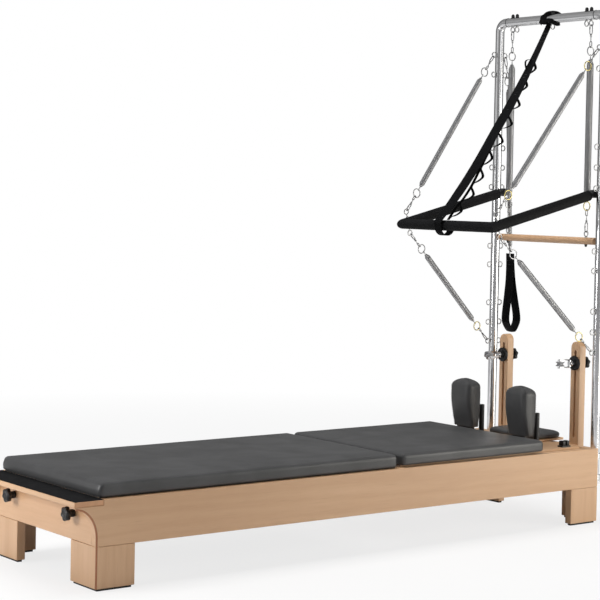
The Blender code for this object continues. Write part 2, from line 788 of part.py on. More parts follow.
def riser_fittings(plastic, steel, nylon):
    """On each riser a hub that slides in the slot, a forked pulley that swivels on it and a knob."""
    front = head_x + gap
    back = front + riser_depth
    for label, side in sides:
        centre = Vector((front - gap, side * riser_y, hub_z))
        profile = [(0, 0), (hub_radius, 0), (hub_radius, hub_thickness * 0.6),
                   (hub_radius * 0.8, hub_thickness), (0, hub_thickness)]
        hub = turned(f"riser_hub_{label}", profile, centre, (-1, 0, 0), plastic, steps=24)
        reach = riser_depth + gap + knob_stem_length
        bolt = rod(f"hub_bolt_{label}", centre + Vector((-0.004, 0, 0)), centre + Vector((reach, 0, 0)),
                   hub_bolt_radius, steel, steps=12)
        fuse(hub, [bolt])
        knob_base = (back + gap, side * riser_y, hub_z)
        knob = star_knob(f"riser_knob_{label}", knob_base, (1, 0, 0), knob_stem_length, plastic,
                         bore=hub_bolt_radius + gap)
        fork, sheave = pulley(label, centre + Vector((-hub_thickness - gap, 0, 0)), steel, nylon,
                              math.radians(far_fork_turn if side > 0 else 0.0))
        tip = centre + Vector((-hub_thickness - hub_neck_length - fork_length + sheave_setback, 0, 0))
        carry(f"axis_riser_hub_{label}", centre, [hub] + helpers_of(hub))
        carry(f"axis_riser_knob_{label}", knob_base, [knob] + helpers_of(knob))
        carry(f"axis_pulley_{label}", centre, [fork] + helpers_of(fork))
        carry(f"axis_sheave_{label}", tip, [sheave])


def pulley(label, root, steel, nylon, turn):
    """A swivel neck with two prongs and a grooved sheave on the axle between them."""
    def placed(point):
        return root + Matrix.Rotation(turn, 3, "X") @ Vector(point)
    across = Matrix.Rotation(turn, 3, "X") @ Vector((0, 0, 1))
    neck = rod(f"pulley_fork_{label}", placed((0, 0, 0)), placed((-hub_neck_length, 0, 0)),
               hub_neck_radius, steel, steps=14)
    half = fork_spread / 2 + fork_thickness
    low = Vector((-hub_neck_length - fork_length, -fork_width / 2, -half))
    high = Vector((-hub_neck_length + 0.004, fork_width / 2, half))
    yoke = block(f"fork_yoke_{label}", low, high, steel, rounding=0.003, segments=1)
    spread = fork_spread / 2
    mouth = block(f"fork_mouth_{label}", (low.x - 0.01, -fork_width, -spread),
                  (high.x - 0.009, fork_width, spread), steel, cutter=True)
    yoke.data.transform(Matrix.Rotation(turn, 4, "X"))
    yoke.data.transform(Matrix.Translation(root))
    mouth.data.transform(Matrix.Rotation(turn, 4, "X"))
    mouth.data.transform(Matrix.Translation(root))
    axle_x = -hub_neck_length - fork_length + sheave_setback
    axle = rod(f"fork_axle_{label}", placed((axle_x, 0, 0)) - across * (half + 0.002),
               placed((axle_x, 0, 0)) + across * (half + 0.002), sheave_bore - axle_clearance, steel)
    fuse(neck, [yoke])
    cut(neck, [mouth])
    fuse(neck, [axle])
    width = sheave_width / 2
    rim = sheave_radius
    bed = rim - sheave_groove
    profile = [(sheave_bore, -width), (rim, -width), (rim, -width + 0.002), (bed, -width * 0.3),
               (bed, width * 0.3), (rim, width - 0.002), (rim, width), (sheave_bore, width)]
    sheave = turned(f"pulley_sheave_{label}", profile, placed((axle_x, 0, 0)), across, nylon, steps=24)
    return neck, sheave


def eye(name, centre, across, along, material, wire=eye_wire, radius=eye_radius, count=8):
    return tube(name, circle(centre, radius, across, along, count), wire, material, closed=True, sides=4)


def eyebolt(name, root, way, reach, across, material):
    """A shank from root along way with a ring on its end, in the plane of way and across."""
    root = Vector(root)
    way = Vector(way)
    shank = rod(f"{name}_shank", root, root + way * (reach - eye_radius), bolt_radius, material, steps=5)
    return [shank, eye(f"{name}_ring", root + way * reach, way, across, material)]


def tower_uprights(steel):
    """Hollow tubes bent inwards at the top, with a row of eyebolts on both faces."""
    x = tower_x
    bed = tube_radius - tube_wall * 0.6
    for label, side in sides:
        bend = elbow_radius
        corner = (side * (tower_y - bend), tower_z - bend)
        turn = [Vector((x, corner[0] + side * bend * math.cos(a), corner[1] + bend * math.sin(a)))
                for a in [math.radians(90 * step / 6) for step in range(7)]]
        path = [Vector((x, side * tower_y, tower_foot)), *turn, Vector((x, side * (seam_y + gap), tower_z))]
        pole = tube(f"tower_upright_{label}", path, tube_radius, steel, sides=16,
                    bore=tube_radius - tube_wall)
        pieces = []
        for index, height in enumerate(upright_eye_heights):
            for face in (-1, 1):
                pieces += eyebolt(f"eye_{label}_{index}_{face}", (x + face * bed, side * tower_y, height),
                                  (face, 0, 0), eye_reach - bed, (0, 0, 1), steel)
        outer = Vector((x, side * (tower_y - bed), pivot_z))
        inner = Vector((x, side * (arm_y - pin_depth), pivot_z))
        pieces.append(rod(f"pivot_pin_{label}", outer, inner, pin_radius, steel, steps=12))
        fuse(pole, pieces)


def tower_crossbar(steel):
    """The straight tube between the uprights' elbows, with vertical eyebolts under acorn nuts."""
    bar = rod("tower_crossbar", (tower_x, -seam_y, tower_z), (tower_x, seam_y, tower_z), tube_radius,
              steel, steps=16)
    bore = rod("crossbar_bore", (tower_x, -seam_y - 0.01, tower_z), (tower_x, seam_y + 0.01, tower_z),
               tube_radius - tube_wall, steel, steps=16, cutter=True)
    cut(bar, [bore])
    pieces = []
    bed = tube_radius - tube_wall * 0.6
    for index, y in enumerate(crossbar_eye_places):
        nut = tower_z + tube_radius - 0.001
        pieces += eyebolt(f"crossbar_eye_{index}", (tower_x, y, tower_z - bed), (0, 0, -1),
                          eye_reach - bed, (1, 0, 0), steel)
        profile = [(0, 0), (acorn_radius, 0), (acorn_radius, acorn_height * 0.45),
                   (acorn_radius * 0.7, acorn_height * 0.85), (0, acorn_height)]
        pieces.append(turned(f"acorn_nut_{index}", profile, (tower_x, y, nut), (0, 0, 1), steel, steps=6))
    return fuse(bar, pieces)


def tower_brackets(steel):
    """A plate on the head board for each upright, with two collars and a seat under the tube."""
    start = head_x + gap
    for label, side in sides:
        y = side * tower_y
        low = tower_foot - 0.01
        plate = block(f"tower_bracket_{label}", (start, y - bracket_plate_width / 2, low),
                      (start + bracket_plate_thickness, y + bracket_plate_width / 2,
                       low + bracket_plate_height), steel, rounding=0.001, segments=1)
        pieces = []
        inner = tube_radius + gap
        for index in range(2):
            z = tower_foot + 0.004 + collar_spacing * index
            profile = [(inner, 0), (inner + collar_thickness, 0), (inner + collar_thickness, collar_height),
                       (inner, collar_height)]
            pieces.append(turned(f"collar_{label}_{index}", profile, (tower_x, y, z), (0, 0, 1), steel,
                                 steps=20))
            pieces.append(block(f"collar_arm_{label}_{index}",
                                (start + bracket_plate_thickness / 2, y - 0.012, z + 0.002),
                                (tower_x - inner - collar_thickness / 2, y + 0.012,
                                 z + collar_height - 0.002), steel))
        pieces.append(block(f"seat_{label}", (start + bracket_plate_thickness / 2, y - 0.02, low),
                            (tower_x + 0.02, y + 0.02, tower_foot - gap), steel))
        fuse(plate, pieces)


def bar_route(setback=0.0):
    """Centre line of the push-through bar: arm, bend, crossbar, bend, arm."""
    slope = Vector((-arm_reach, 0, -arm_drop)).normalized()
    corner_x = tower_x - arm_reach
    corner_z = pivot_z - arm_drop
    points = []
    for side in (-1, 1):
        end = Vector((tower_x, side * arm_y, pivot_z)) + slope * setback
        centre = Vector((corner_x, side * (arm_y - bar_bend), corner_z)) - slope * bar_bend
        turn = [centre + bar_bend * (math.cos(a) * Vector((0, side, 0)) + math.sin(a) * slope)
                for a in [math.radians(90 * step / 5) for step in range(6)]]
        points.append([end, *turn])
    return points[0] + points[1][::-1], slope


def bar_corner(side):
    """Where a corner's eyebolt crosses the arm, and the direction square to the bar's plane."""
    slope = Vector((-arm_reach, 0, -arm_drop)).normalized()
    root = Vector((tower_x - arm_reach, side * arm_y, pivot_z - arm_drop)) - slope * (bar_bend + 0.001)
    return root, Vector((slope.z, 0, -slope.x))


def push_through_bar(steel, foam):
    """A U of steel tube that hinges on the uprights, with a foam sleeve round most of it."""
    route, slope = bar_route()
    frame = tube("push_through_bar", route, bar_tube_radius, steel, sides=12)
    pieces = []
    bores = []
    for label, side in sides:
        centre = Vector((tower_x, side * arm_y, pivot_z))
        half = Vector((0, hub_sleeve, 0))
        pieces.append(rod(f"arm_boss_{label}", centre - half, centre + half, foam_radius * 0.8, steel,
                          steps=18))
        bores.append(rod(f"arm_bore_{label}", centre - Vector((0, side * (pin_depth + gap), 0)),
                         centre + Vector((0, side * 0.03, 0)), pin_radius + pin_clearance, steel,
                         steps=24, cutter=True))
    bolts = []
    bed = bar_tube_radius * 0.6
    for label, side in sides:
        root, square = bar_corner(side)
        for face in (-1, 1):
            bolts += eyebolt(f"bar_eye_{label}_{face}", root + square * bed * face, square * face,
                             bar_eye_reach - bed, slope, steel)
    fuse(frame, pieces + bolts)
    cut(frame, bores)
    cover_route, slope = bar_route(foam_end)
    cover = tube("bar_foam", cover_route, foam_radius, foam, sides=12, bore=bar_tube_radius + gap)
    clear = []
    for label, side in sides:
        root, square = bar_corner(side)
        clear.append(rod(f"foam_hole_{label}", root - square * 2 * foam_radius,
                         root + square * 2 * foam_radius,
                         bolt_radius + 2 * gap, foam, steps=6, cutter=True))
    cut(cover, clear)
    carry("axis_push_through_bar", (tower_x, 0, pivot_z),
          [frame, cover] + helpers_of(frame) + helpers_of(cover))


def linked_spring(name, start, end, radius, material, normal, hook=hook_length):
    """A close-wound spring between two eyes: at each end a snap hook through the eye and a ring.
    The normal is the direction that both eyes face."""
    start = Vector(start)
    end = Vector(end)
    way = (end - start).normalized()
    pieces = []
    ends = []
    for index, (place, direction) in enumerate(((start, way), (end, -way))):
        across = Vector(normal) - direction * direction.dot(Vector(normal))
        across.normalize()
        pieces.append(hook_loop(f"{name}_hook_{index}", place, direction, across, material, hook))
        link = place + direction * (hook_slack + hook - hook_wire * 1.2)
        pieces.append(eye(f"{name}_ring_{index}", link + direction * ring_radius, direction,
                          direction.cross(across), material, ring_wire, ring_radius))
        neck = link + direction * 2 * ring_radius
        body_end = neck + direction * neck_length
        pieces.append(rod(f"{name}_neck_{index}", neck - direction * ring_wire * 1.5,
                          body_end + direction * radius * 0.8, neck_radius, material, steps=8))
        ends.append(body_end)
    body = coil(name, ends[0], ends[1], radius, material)
    return fuse(body, pieces)


def hook_loop(name, eye_centre, direction, across, material, length):
    """A long closed loop whose end lies in the eye, on the side that the pull draws it to."""
    bottom = eye_centre + direction * hook_slack
    low = bottom + direction * hook_radius
    high = bottom + direction * (length - hook_radius)
    points = circle(low, hook_radius, across, -direction, 5, 0.0, math.pi)
    points += circle(high, hook_radius, -across, direction, 5, 0.0, math.pi)
    return tube(name, points, hook_wire, material, closed=True, sides=4)


def bar_springs(steel):
    """Two springs hold each corner of the push-through bar between eyes on its upright."""
    anchors = (("upper", upright_eye_heights[0], 1), ("lower", upright_eye_heights[-1], -1))
    for label, side in sides:
        root, square = bar_corner(side)
        for level, height, face in anchors:
            linked_spring(f"bar_spring_{level}_{label}", (tower_x - eye_reach, side * tower_y, height),
                          root + square * face * bar_eye_reach, tower_coil_radius, steel, (0, 1, 0))


def ribbon(name, points, thickness, start, end, material):
    """A strip of webbing whose middle follows (x, z) points, from y start to y end."""
    ways = [Vector(after) - Vector(before) for before, after in zip(points, points[1:])]
    left = []
    right = []
    for index, point in enumerate(points):
        way = ways[max(index - 1, 0)].normalized() + ways[min(index, len(ways) - 1)].normalized()
        square = Vector((way.y, -way.x)).normalized() * thickness / 2
        left.append(tuple(Vector(point) + square))
        right.append(tuple(Vector(point) - square))
    return slab(name, left + right[::-1], "Y", start, end, material)


def safety_strap(webbing):
    """Webbing round the crossbar and, with some slack, round the push-through bar. A narrow webbing with
    small loops is sewn to its head side and runs apart from it over the lower half."""
    top = Vector((tower_x, tower_z))
    low = Vector((tower_x - arm_reach, pivot_z - arm_drop))
    way = (low - top).normalized()
    length = (low - top).length
    outwards = Vector((way.y, -way.x))

    def placed(share, swing):
        return tuple(top + way * length * share + outwards * strap_swing * swing)

    start = safety_y - safety_width / 2
    end = safety_y + safety_width / 2
    thick = strap_thickness
    grip = foam_radius + gap + thick
    bight = [(1 + along * bight_drop / length, across * grip / strap_swing) for along, across in
             ((0.45, 1.0), (0.8, 0.5), (1.0, -0.2), (0.95, -0.75), (0.55, -1.12))]
    route = [placed(*point) for point in band_path + tuple(bight) + chain_path[:-3:-1]]
    strap = ribbon("safety_strap", route, thick, start, end, webbing)
    profile = [(tube_radius + gap, start), (tube_radius + gap + thick, start),
               (tube_radius + gap + thick, end), (tube_radius + gap, end)]
    wrap = turned("strap_wrap", profile, (top.x, 0, top.y), (0, 1, 0), webbing, steps=18)
    low_y = safety_y - chain_width / 2
    high_y = safety_y + chain_width / 2
    chain = ribbon("strap_chain", [placed(*point) for point in chain_path], thick, low_y, high_y, webbing)
    pieces = [wrap, chain]
    for index in range(chain_count):
        share = chain_start + (chain_end - chain_start) * index / (chain_count - 1)
        path = band_path if share < chain_path[0][0] else chain_path
        x, z = placed(share, offset_at(path, share) - chain_loop / strap_swing)
        ring = [(chain_loop - thick, low_y), (chain_loop, low_y), (chain_loop, high_y),
                (chain_loop - thick, high_y)]
        pieces.append(turned(f"chain_loop_{index}", ring, (x, 0, z), (0, 1, 0), webbing, steps=10))
    return fuse(strap, pieces)


def offset_at(path, share):
    """A path's offset at a share of its length, straight between its points."""
    for (before, low), (after, high) in zip(path, path[1:]):
        if before <= share <= after:
            return low + (high - low) * (share - before) / (after - before)
    return path[-1][1]


def roll_down_bar(wood, steel):
    """A dowel hung from the crossbar on two springs."""
    half = dowel_eye_y + dowel_overhang
    round_over = 0.003
    profile = [(0, -half), (dowel_radius - round_over, -half), (dowel_radius, -half + round_over),
               (dowel_radius, half - round_over), (dowel_radius - round_over, half), (0, half)]
    dowel = turned("roll_down_bar", profile, (tower_x, 0, dowel_z), (0, 1, 0), wood, steps=18)
    pieces = []
    springs = []
    for label, side in sides:
        y = side * dowel_eye_y
        top = dowel_z + dowel_radius + eye_radius + 0.004
        pieces += eyebolt(f"dowel_eye_{label}", (tower_x, y, dowel_z + 0.004), (0, 0, 1),
                          top - dowel_z - 0.004, (1, 0, 0), steel)
        nut = [(0, 0), (acorn_radius, 0), (acorn_radius, acorn_height * 0.5), (0, acorn_height)]
        pieces.append(turned(f"dowel_nut_{label}", nut,
                             (tower_x, y, dowel_z - dowel_radius + 0.002), (0, 0, -1), steel, steps=6))
        anchor = (tower_x, side * abs(crossbar_eye_places[0]), tower_z - eye_reach)
        springs.append(linked_spring(f"roll_down_spring_{label}", anchor, (tower_x, y, top),
                                     wide_coil_radius, steel, (0, 1, 0), long_hook_length))
    fuse(dowel, pieces)
    items = [dowel, *springs]
    moved = items + [helper for item in items for helper in helpers_of(item)]
    carry("axis_roll_down", (tower_x, 0, tower_z - eye_reach), moved)


def hand_loops(webbing, steel):
    """A slim spring with a webbing hand loop on the head side of each upright."""
    lean = math.radians(arm_lean)
    for label, side in sides:
        pivot = Vector((tower_x + eye_reach, side * tower_y, upright_eye_heights[0]))
        down = Vector((math.sin(lean), 0, -math.cos(lean)))
        outward = Vector((math.cos(lean), 0, math.sin(lean)))
        inside = Vector((0, -side * hang_inset, 0))
        foot = pivot + inside + down * arm_spring_length
        spring = hanging_spring(f"arm_spring_{label}", pivot, foot, down, side, steel)
        half = hand_loop_width / 2
        top = foot + down * 0.004
        low = top + down * hand_loop_length
        outer = [top - outward * 0.006, top + outward * 0.006, top + outward * 0.008 + down * 0.04,
                 low + outward * half - down * 0.09, low + outward * half - down * 0.03,
                 low + outward * (half - 0.018) - down * 0.004, low - outward * (half - 0.018) - down * 0.004,
                 low - outward * half - down * 0.03, low - outward * half - down * 0.09,
                 top - outward * 0.008 + down * 0.04]
        thick = 0.005
        inner = [top + down * 0.06 + outward * 0.004, low + outward * (half - thick) - down * 0.09,
                 low + outward * (half - thick) - down * 0.032,
                 low + outward * (half - 0.018 - thick / 2) - down * (0.004 + thick),
                 low - outward * (half - 0.018 - thick / 2) - down * (0.004 + thick),
                 low - outward * (half - thick) - down * 0.032, low - outward * (half - thick) - down * 0.09,
                 top + down * 0.06 - outward * 0.004]
        middle = side * (tower_y - hang_inset)
        width = strap_width / 2
        loop = slab(f"hand_loop_{label}", [(p.x, p.z) for p in outer], "Y", middle - width,
                    middle + width, webbing)
        opening = slab(f"hand_opening_{label}", [(p.x, p.z) for p in inner], "Y",
                       middle - width - 0.01, middle + width + 0.01, webbing, cutter=True)
        cut(loop, [opening])
        items = [spring, loop]
        moved = items + [helper for item in items for helper in helpers_of(item)]
        carry(f"axis_arm_spring_{label}", pivot, moved)


def hanging_spring(name, pivot, foot, down, side, steel):
    """A spring that hangs from an eye, on a hook that leans inwards past the eyes below."""
    lean = Vector((0, -side * hang_inset, 0)) + down * long_hook_length
    lean.normalize()
    across = Vector((0, 1, 0)) - lean * lean.y
    hook = hook_loop(f"{name}_hook", pivot, lean, across.normalized(), steel, long_hook_length)
    link = pivot + lean * (hook_slack + long_hook_length - hook_wire * 1.5)
    ring = eye(f"{name}_ring", link + down * ring_radius, down, down.cross(Vector((0, 1, 0))), steel,
               ring_wire, ring_radius)
    shoulder = link + down * 2 * ring_radius
    body_top = shoulder + down * neck_length
    body = coil(name, body_top, foot - down * 0.02, slim_coil_radius, steel)
    neck = rod(f"{name}_neck", shoulder - down * ring_wire * 1.5, body_top + down * 0.01, neck_radius, steel,
               steps=6)
    swivel = rod(f"{name}_swivel", foot - down * 0.03, foot + down * 0.0037, 0.0055, steel, steps=10)
    return fuse(body, [hook, ring, neck, swivel])


def build():
    clear_scene()
    maple = finish("maple", (0.78, 0.58, 0.40), 0.45)
    leather = finish("grey_leather", (0.09, 0.09, 0.09), 0.5)
    rubber = finish("black_rubber", (0.02, 0.02, 0.02), 0.8)
    plastic = finish("black_plastic", (0.02, 0.02, 0.02), 0.4)
    steel = finish("polished_steel", (0.75, 0.75, 0.76), 0.2, 1.0)
    dark_steel = finish("black_steel", (0.03, 0.03, 0.03), 0.4, 0.6)
    aluminium = finish("aluminium", (0.7, 0.7, 0.7), 0.4, 1.0)
    nylon = finish("nylon", (0.55, 0.55, 0.55), 0.5)
    foam = finish("black_foam", (0.03, 0.03, 0.03), 0.9)
    webbing = finish("black_webbing", (0.01, 0.01, 0.01), 0.8)
    rails(maple)
    legs(maple, rubber)
    end_boards(maple)
    standing_platform(maple, rubber)
    tracks(aluminium)
    spring_bar(steel)
    risers(maple, steel)
    riser_fittings(plastic, steel, nylon)
    platform_knobs(plastic)
    conversion_mat(leather, maple)
    carriage_deck(maple, plastic)
    carriage_pad(leather)
    carriage_springs(steel)
    wheels(nylon)
    shoulder_rests(leather, dark_steel)
    headrest(maple, leather)
    tower_uprights(steel)
    tower_crossbar(steel)
    tower_brackets(steel)
    push_through_bar(dark_steel, foam)
    bar_springs(steel)
    safety_strap(webbing)
    roll_down_bar(maple, steel)
    hand_loops(webbing, steel)


build()
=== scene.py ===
"""Finishes for a pilates reformer with a tower: wood, upholstery, springs, webbing and its studio."""

import json
import math

import bmesh
import bpy
from bpy.props import FloatProperty, FloatVectorProperty, IntProperty, PointerProperty
from bpy.types import Operator, Panel, PropertyGroup
from mathutils import Matrix, Vector, noise

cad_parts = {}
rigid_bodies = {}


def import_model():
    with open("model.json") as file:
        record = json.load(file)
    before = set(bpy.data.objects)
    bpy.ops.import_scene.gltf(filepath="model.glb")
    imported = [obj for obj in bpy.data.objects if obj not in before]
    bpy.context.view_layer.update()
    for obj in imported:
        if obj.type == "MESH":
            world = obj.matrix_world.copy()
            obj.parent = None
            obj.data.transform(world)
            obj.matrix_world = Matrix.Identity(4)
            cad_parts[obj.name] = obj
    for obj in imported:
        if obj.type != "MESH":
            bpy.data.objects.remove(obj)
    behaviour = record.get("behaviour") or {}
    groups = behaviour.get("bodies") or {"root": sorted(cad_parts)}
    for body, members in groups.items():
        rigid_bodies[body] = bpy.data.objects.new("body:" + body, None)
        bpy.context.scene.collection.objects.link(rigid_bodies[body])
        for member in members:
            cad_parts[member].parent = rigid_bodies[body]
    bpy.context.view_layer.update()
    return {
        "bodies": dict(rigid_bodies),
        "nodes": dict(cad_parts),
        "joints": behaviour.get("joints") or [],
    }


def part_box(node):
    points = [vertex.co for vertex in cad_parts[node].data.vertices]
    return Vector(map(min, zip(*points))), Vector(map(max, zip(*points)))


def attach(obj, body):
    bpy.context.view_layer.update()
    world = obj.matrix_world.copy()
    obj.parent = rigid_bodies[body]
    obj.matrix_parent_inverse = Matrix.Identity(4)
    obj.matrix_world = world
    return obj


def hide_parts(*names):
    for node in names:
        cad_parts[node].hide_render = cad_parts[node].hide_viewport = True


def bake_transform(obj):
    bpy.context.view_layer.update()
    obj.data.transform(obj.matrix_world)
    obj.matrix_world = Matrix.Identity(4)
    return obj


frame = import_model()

bl_info = {
    "name": "Pilates Reformer Finishes",
    "version": (1, 0, 0),
    "blender": (4, 5, 0),
    "location": "View3D > Sidebar > Reformer",
    "description": "Dresses the frame of a pilates reformer with a tower",
    "category": "Add Mesh",
}

# Places that the frame gives
sides = (("near", -1), ("far", 1))
joints = {joint["name"]: joint for joint in frame["joints"]}
pivot = Vector(joints["push_bar_pivot"]["pos_m"])
swing = Vector(joints["roll_down_swing"]["pos_m"])
hanger = Vector(joints["arm_swing_near"]["pos_m"])
tower_x = pivot.x
tower_y = -hanger.y
eye_reach = hanger.x - tower_x
tower_z = swing.z + eye_reach

# Shoulder rests: how far the narrow foot stands back, its depth, and the cover's shift to the head end
rest_foot_back = 0.024
rest_foot_depth = 0.044
rest_shift = 0.0008

# Pulleys: the swivel's neck, the fork, and how far the sheave's axle is from the fork's tip
swivel_neck = 0.018
fork_length = 0.066
axle_inset = 0.013

# Tower, as on the frame
tube_radius = 0.019
elbow_radius = 0.038
seam_y = tower_y - 0.053
seam_gap = 0.0012
tower_foot = 0.165
eye_radius = 0.011
eye_wire = 0.0023
eye_sink = 0.0008
eye_drops = (0.140, 0.226, 0.548, 0.634, 0.720, 0.979, 1.061, 1.229, 1.315, 1.399)
crossbar_eyes = (-0.238, -0.211, -0.010, 0.211, 0.238)
arm_y = tower_y - 0.041
arm_reach = 0.562
arm_drop = 0.1415
bar_bend = 0.024
bar_radius = 0.0125
foam_radius = 0.0215
foam_end = 0.03
bar_eye_reach = 0.046
pin_radius = 0.006

# Springs and their fittings
tower_coil = 0.012
wide_coil = 0.015
slim_coil = 0.010
ring_radius = 0.0185
ring_wire = 0.0022
hook_length = 0.078
long_hook_length = 0.095
hook_radius = 0.0072
hook_wire = 0.0020
neck_length = 0.018
hook_slack = eye_radius - eye_wire - hook_wire - 0.0004
ring_seat = hook_wire + ring_wire + 0.0002
hang_inset = 0.016
hang_lean = math.radians(2.8)
hang_length = 0.87
roll_down_drop = 0.939
dowel_radius = 0.015

slope = Vector((-arm_reach, 0, -arm_drop)).normalized()
square = Vector((slope.z, 0, -slope.x))
eye_heights = [tower_z - drop for drop in eye_drops]


class ReformerSizes(PropertyGroup):
    """Sizes of the soft parts and fittings."""
    crown: FloatProperty(name="Pad crown", description="Rise of the pads' middle over their edges",
                         default=0.004, min=0.0, max=0.01, unit="LENGTH")
    edge: FloatProperty(name="Pad edge", description="Radius of the pads' upper edges",
                        default=0.014, min=0.004, max=0.02, unit="LENGTH")
    slack: FloatProperty(name="Cover slack", description="Height of the soft waves in the covers",
                         default=0.0006, min=0.0, max=0.003, unit="LENGTH")
    wire: FloatProperty(name="Spring wire", description="Radius of the springs' wire",
                        default=0.00125, min=0.0008, max=0.002, unit="LENGTH")
    webbing: FloatProperty(name="Webbing thickness", description="Thickness of the straps",
                           default=0.0024, min=0.001, max=0.004, unit="LENGTH")
    stitch: FloatProperty(name="Stitch length", description="Length of one stitch in the seams",
                          default=0.0055, min=0.002, max=0.01, unit="LENGTH")
    turns: IntProperty(name="Wire steps", description="Straight steps in one turn of a spring",
                       default=10, min=8, max=24)


class ReformerColours(PropertyGroup):
    """Colours of the finishes."""
    maple: FloatVectorProperty(name="Maple", description="Light wood between the growth lines",
                               subtype="COLOR", default=(0.66, 0.42, 0.245), min=0.0, max=1.0)
    maple_line: FloatVectorProperty(name="Maple lines", description="Darker growth lines of the wood",
                                    subtype="COLOR", default=(0.50, 0.285, 0.15), min=0.0, max=1.0)
    leather: FloatVectorProperty(name="Leather", description="Colour of the covers",
                                 subtype="COLOR", default=(0.056, 0.056, 0.057), min=0.0, max=1.0)
    steel: FloatVectorProperty(name="Steel", description="Colour of the polished steel",
                               subtype="COLOR", default=(0.76, 0.76, 0.77), min=0.0, max=1.0)
    zinc: FloatVectorProperty(name="Yellow zinc", description="Colour of the yellow plated rings",
                              subtype="COLOR", default=(0.62, 0.52, 0.22), min=0.0, max=1.0)
    black: FloatVectorProperty(name="Black", description="Colour of the black plastic and foam",
                               subtype="COLOR", default=(0.008, 0.008, 0.0085), min=0.0, max=1.0)
    webbing: FloatVectorProperty(name="Webbing", description="Colour of the straps",
                                 subtype="COLOR", default=(0.0045, 0.0045, 0.005), min=0.0, max=1.0)


class Shape:
    """Points and faces of one piece, gathered part by part."""

    def __init__(self):
        self.points = []
        self.faces = []
        self.marks = {}

    def add(self, points, faces):
        start = len(self.points)
        self.points.extend(tuple(point) for point in points)
        self.faces.extend(tuple(start + index for index in face) for face in faces)

    def rings(self, rings, closed=False, capped=True):
        """Joins rings of equal length into a skin."""
        count = len(rings[0])
        points = [point for ring in rings for point in ring]
        faces = []
        spans = len(rings) if closed else len(rings) - 1
        for row in range(spans):
            here = row * count
            there = ((row + 1) % len(rings)) * count
            for step in range(count):
                after = (step + 1) % count
                faces.append((here + step, here + after, there + after, there + step))
        if capped and not closed:
            faces.append(tuple(reversed(range(count))))
            faces.append(tuple(range((len(rings) - 1) * count, len(rings) * count)))
        self.add(points, faces)

    def tube(self, path, radius, count=12, closed=False, capped=True):
        """A round bar along a path. The radius is one number, or one for each point."""
        path = [Vector(point) for point in path]
        radii = radius if isinstance(radius, (list, tuple)) else [radius] * len(path)
        ways = tangents(path, closed)
        side = ways[0].orthogonal().normalized()
        rings = []
        for point, way, size in zip(path, ways, radii):
            side = (side - way * side.dot(way)).normalized()
            up = way.cross(side)
            rings.append([point + size * (math.cos(a) * side + math.sin(a) * up)
                          for a in round_angles(count)])
        self.rings(rings, closed, capped)

    def lathe(self, profile, centre, axis, count=24):
        """A profile of (radius, height) turned about an axis."""
        axis = Vector(axis).normalized()
        side = axis.orthogonal().normalized()
        up = axis.cross(side)
        centre = Vector(centre)
        rings = [[centre + axis * height + max(radius, 1e-5) * (math.cos(a) * side + math.sin(a) * up)
                  for a in round_angles(count)]
                 for radius, height in profile]
        self.rings(rings)

    def ring(self, centre, across, along, radius, wire, count=20, sides=8):
        across = Vector(across).normalized()
        along = Vector(along).normalized()
        path = [Vector(centre) + radius * (math.cos(a) * across + math.sin(a) * along)
                for a in round_angles(count)]
        self.tube(path, wire, sides, closed=True)

    def make(self, name, finish, body=None, sharp=None, node=None):
        """The mesh object, smooth but for edges over the sharp angle. It can ride, and stand for a node."""
        mesh = bpy.data.meshes.new(name)
        mesh.from_pydata(self.points, [], self.faces)
        mesh.polygons.foreach_set("use_smooth", [True] * len(mesh.polygons))
        if sharp:
            mesh.set_sharp_from_angle(angle=math.radians(sharp))
        mesh.update()
        mesh.materials.append(materials[finish])
        piece = bpy.data.objects.new(name, mesh)
        bpy.context.scene.collection.objects.link(piece)
        if body:
            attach(piece, body)
        if node:
            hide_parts(node)
        return piece


def tangents(path, closed):
    """Directions along a path, averaged at each point."""
    found = []
    last = len(path) - 1
    for index, point in enumerate(path):
        before = path[index - 1] if index or closed else point
        after = path[(index + 1) % len(path)] if index < last or closed else point
        found.append((after - before).normalized())
    return found


def round_angles(count):
    return [math.tau * step / count for step in range(count)]


def disc(radius, low, high):
    """The profile of a plain round bar or disc."""
    return ((0.0, low), (radius, low), (radius, high), (0.0, high))


def stitch_thread(shape, place, half, lift, full):
    """One stitch: a thread that is thickest in its middle. half and lift are vectors."""
    shape.tube([place - half, place + lift, place + half], [0.0003, full, 0.0003], 6)


def arc(centre, radius, across, along, start, end, steps):
    """Points of a round stretch, with angles in degrees."""
    centre = Vector(centre)
    return [centre + radius * (math.cos(a) * Vector(across) + math.sin(a) * Vector(along))
            for a in [math.radians(start + (end - start) * step / steps) for step in range(steps + 1)]]


def curve_through(points, steps):
    """A smooth line through the points, with this many steps between two of them."""
    points = [Vector(point) for point in points]
    ends = [points[0] * 2 - points[1], *points, points[-1] * 2 - points[-2]]
    line = []
    for before, start, end, after in zip(ends, ends[1:], ends[2:], ends[3:]):
        for step in range(steps):
            t = step / steps
            line.append(0.5 * ((2 * start) + (end - before) * t
                               + (2 * before - 5 * start + 4 * end - after) * t * t
                               + (3 * start - before - 3 * end + after) * t ** 3))
    return line + [points[-1]]


def smooth_step(low, high, value):
    share = min(max((value - low) / (high - low), 0.0), 1.0)
    return share * share * (3 - 2 * share)


# Materials

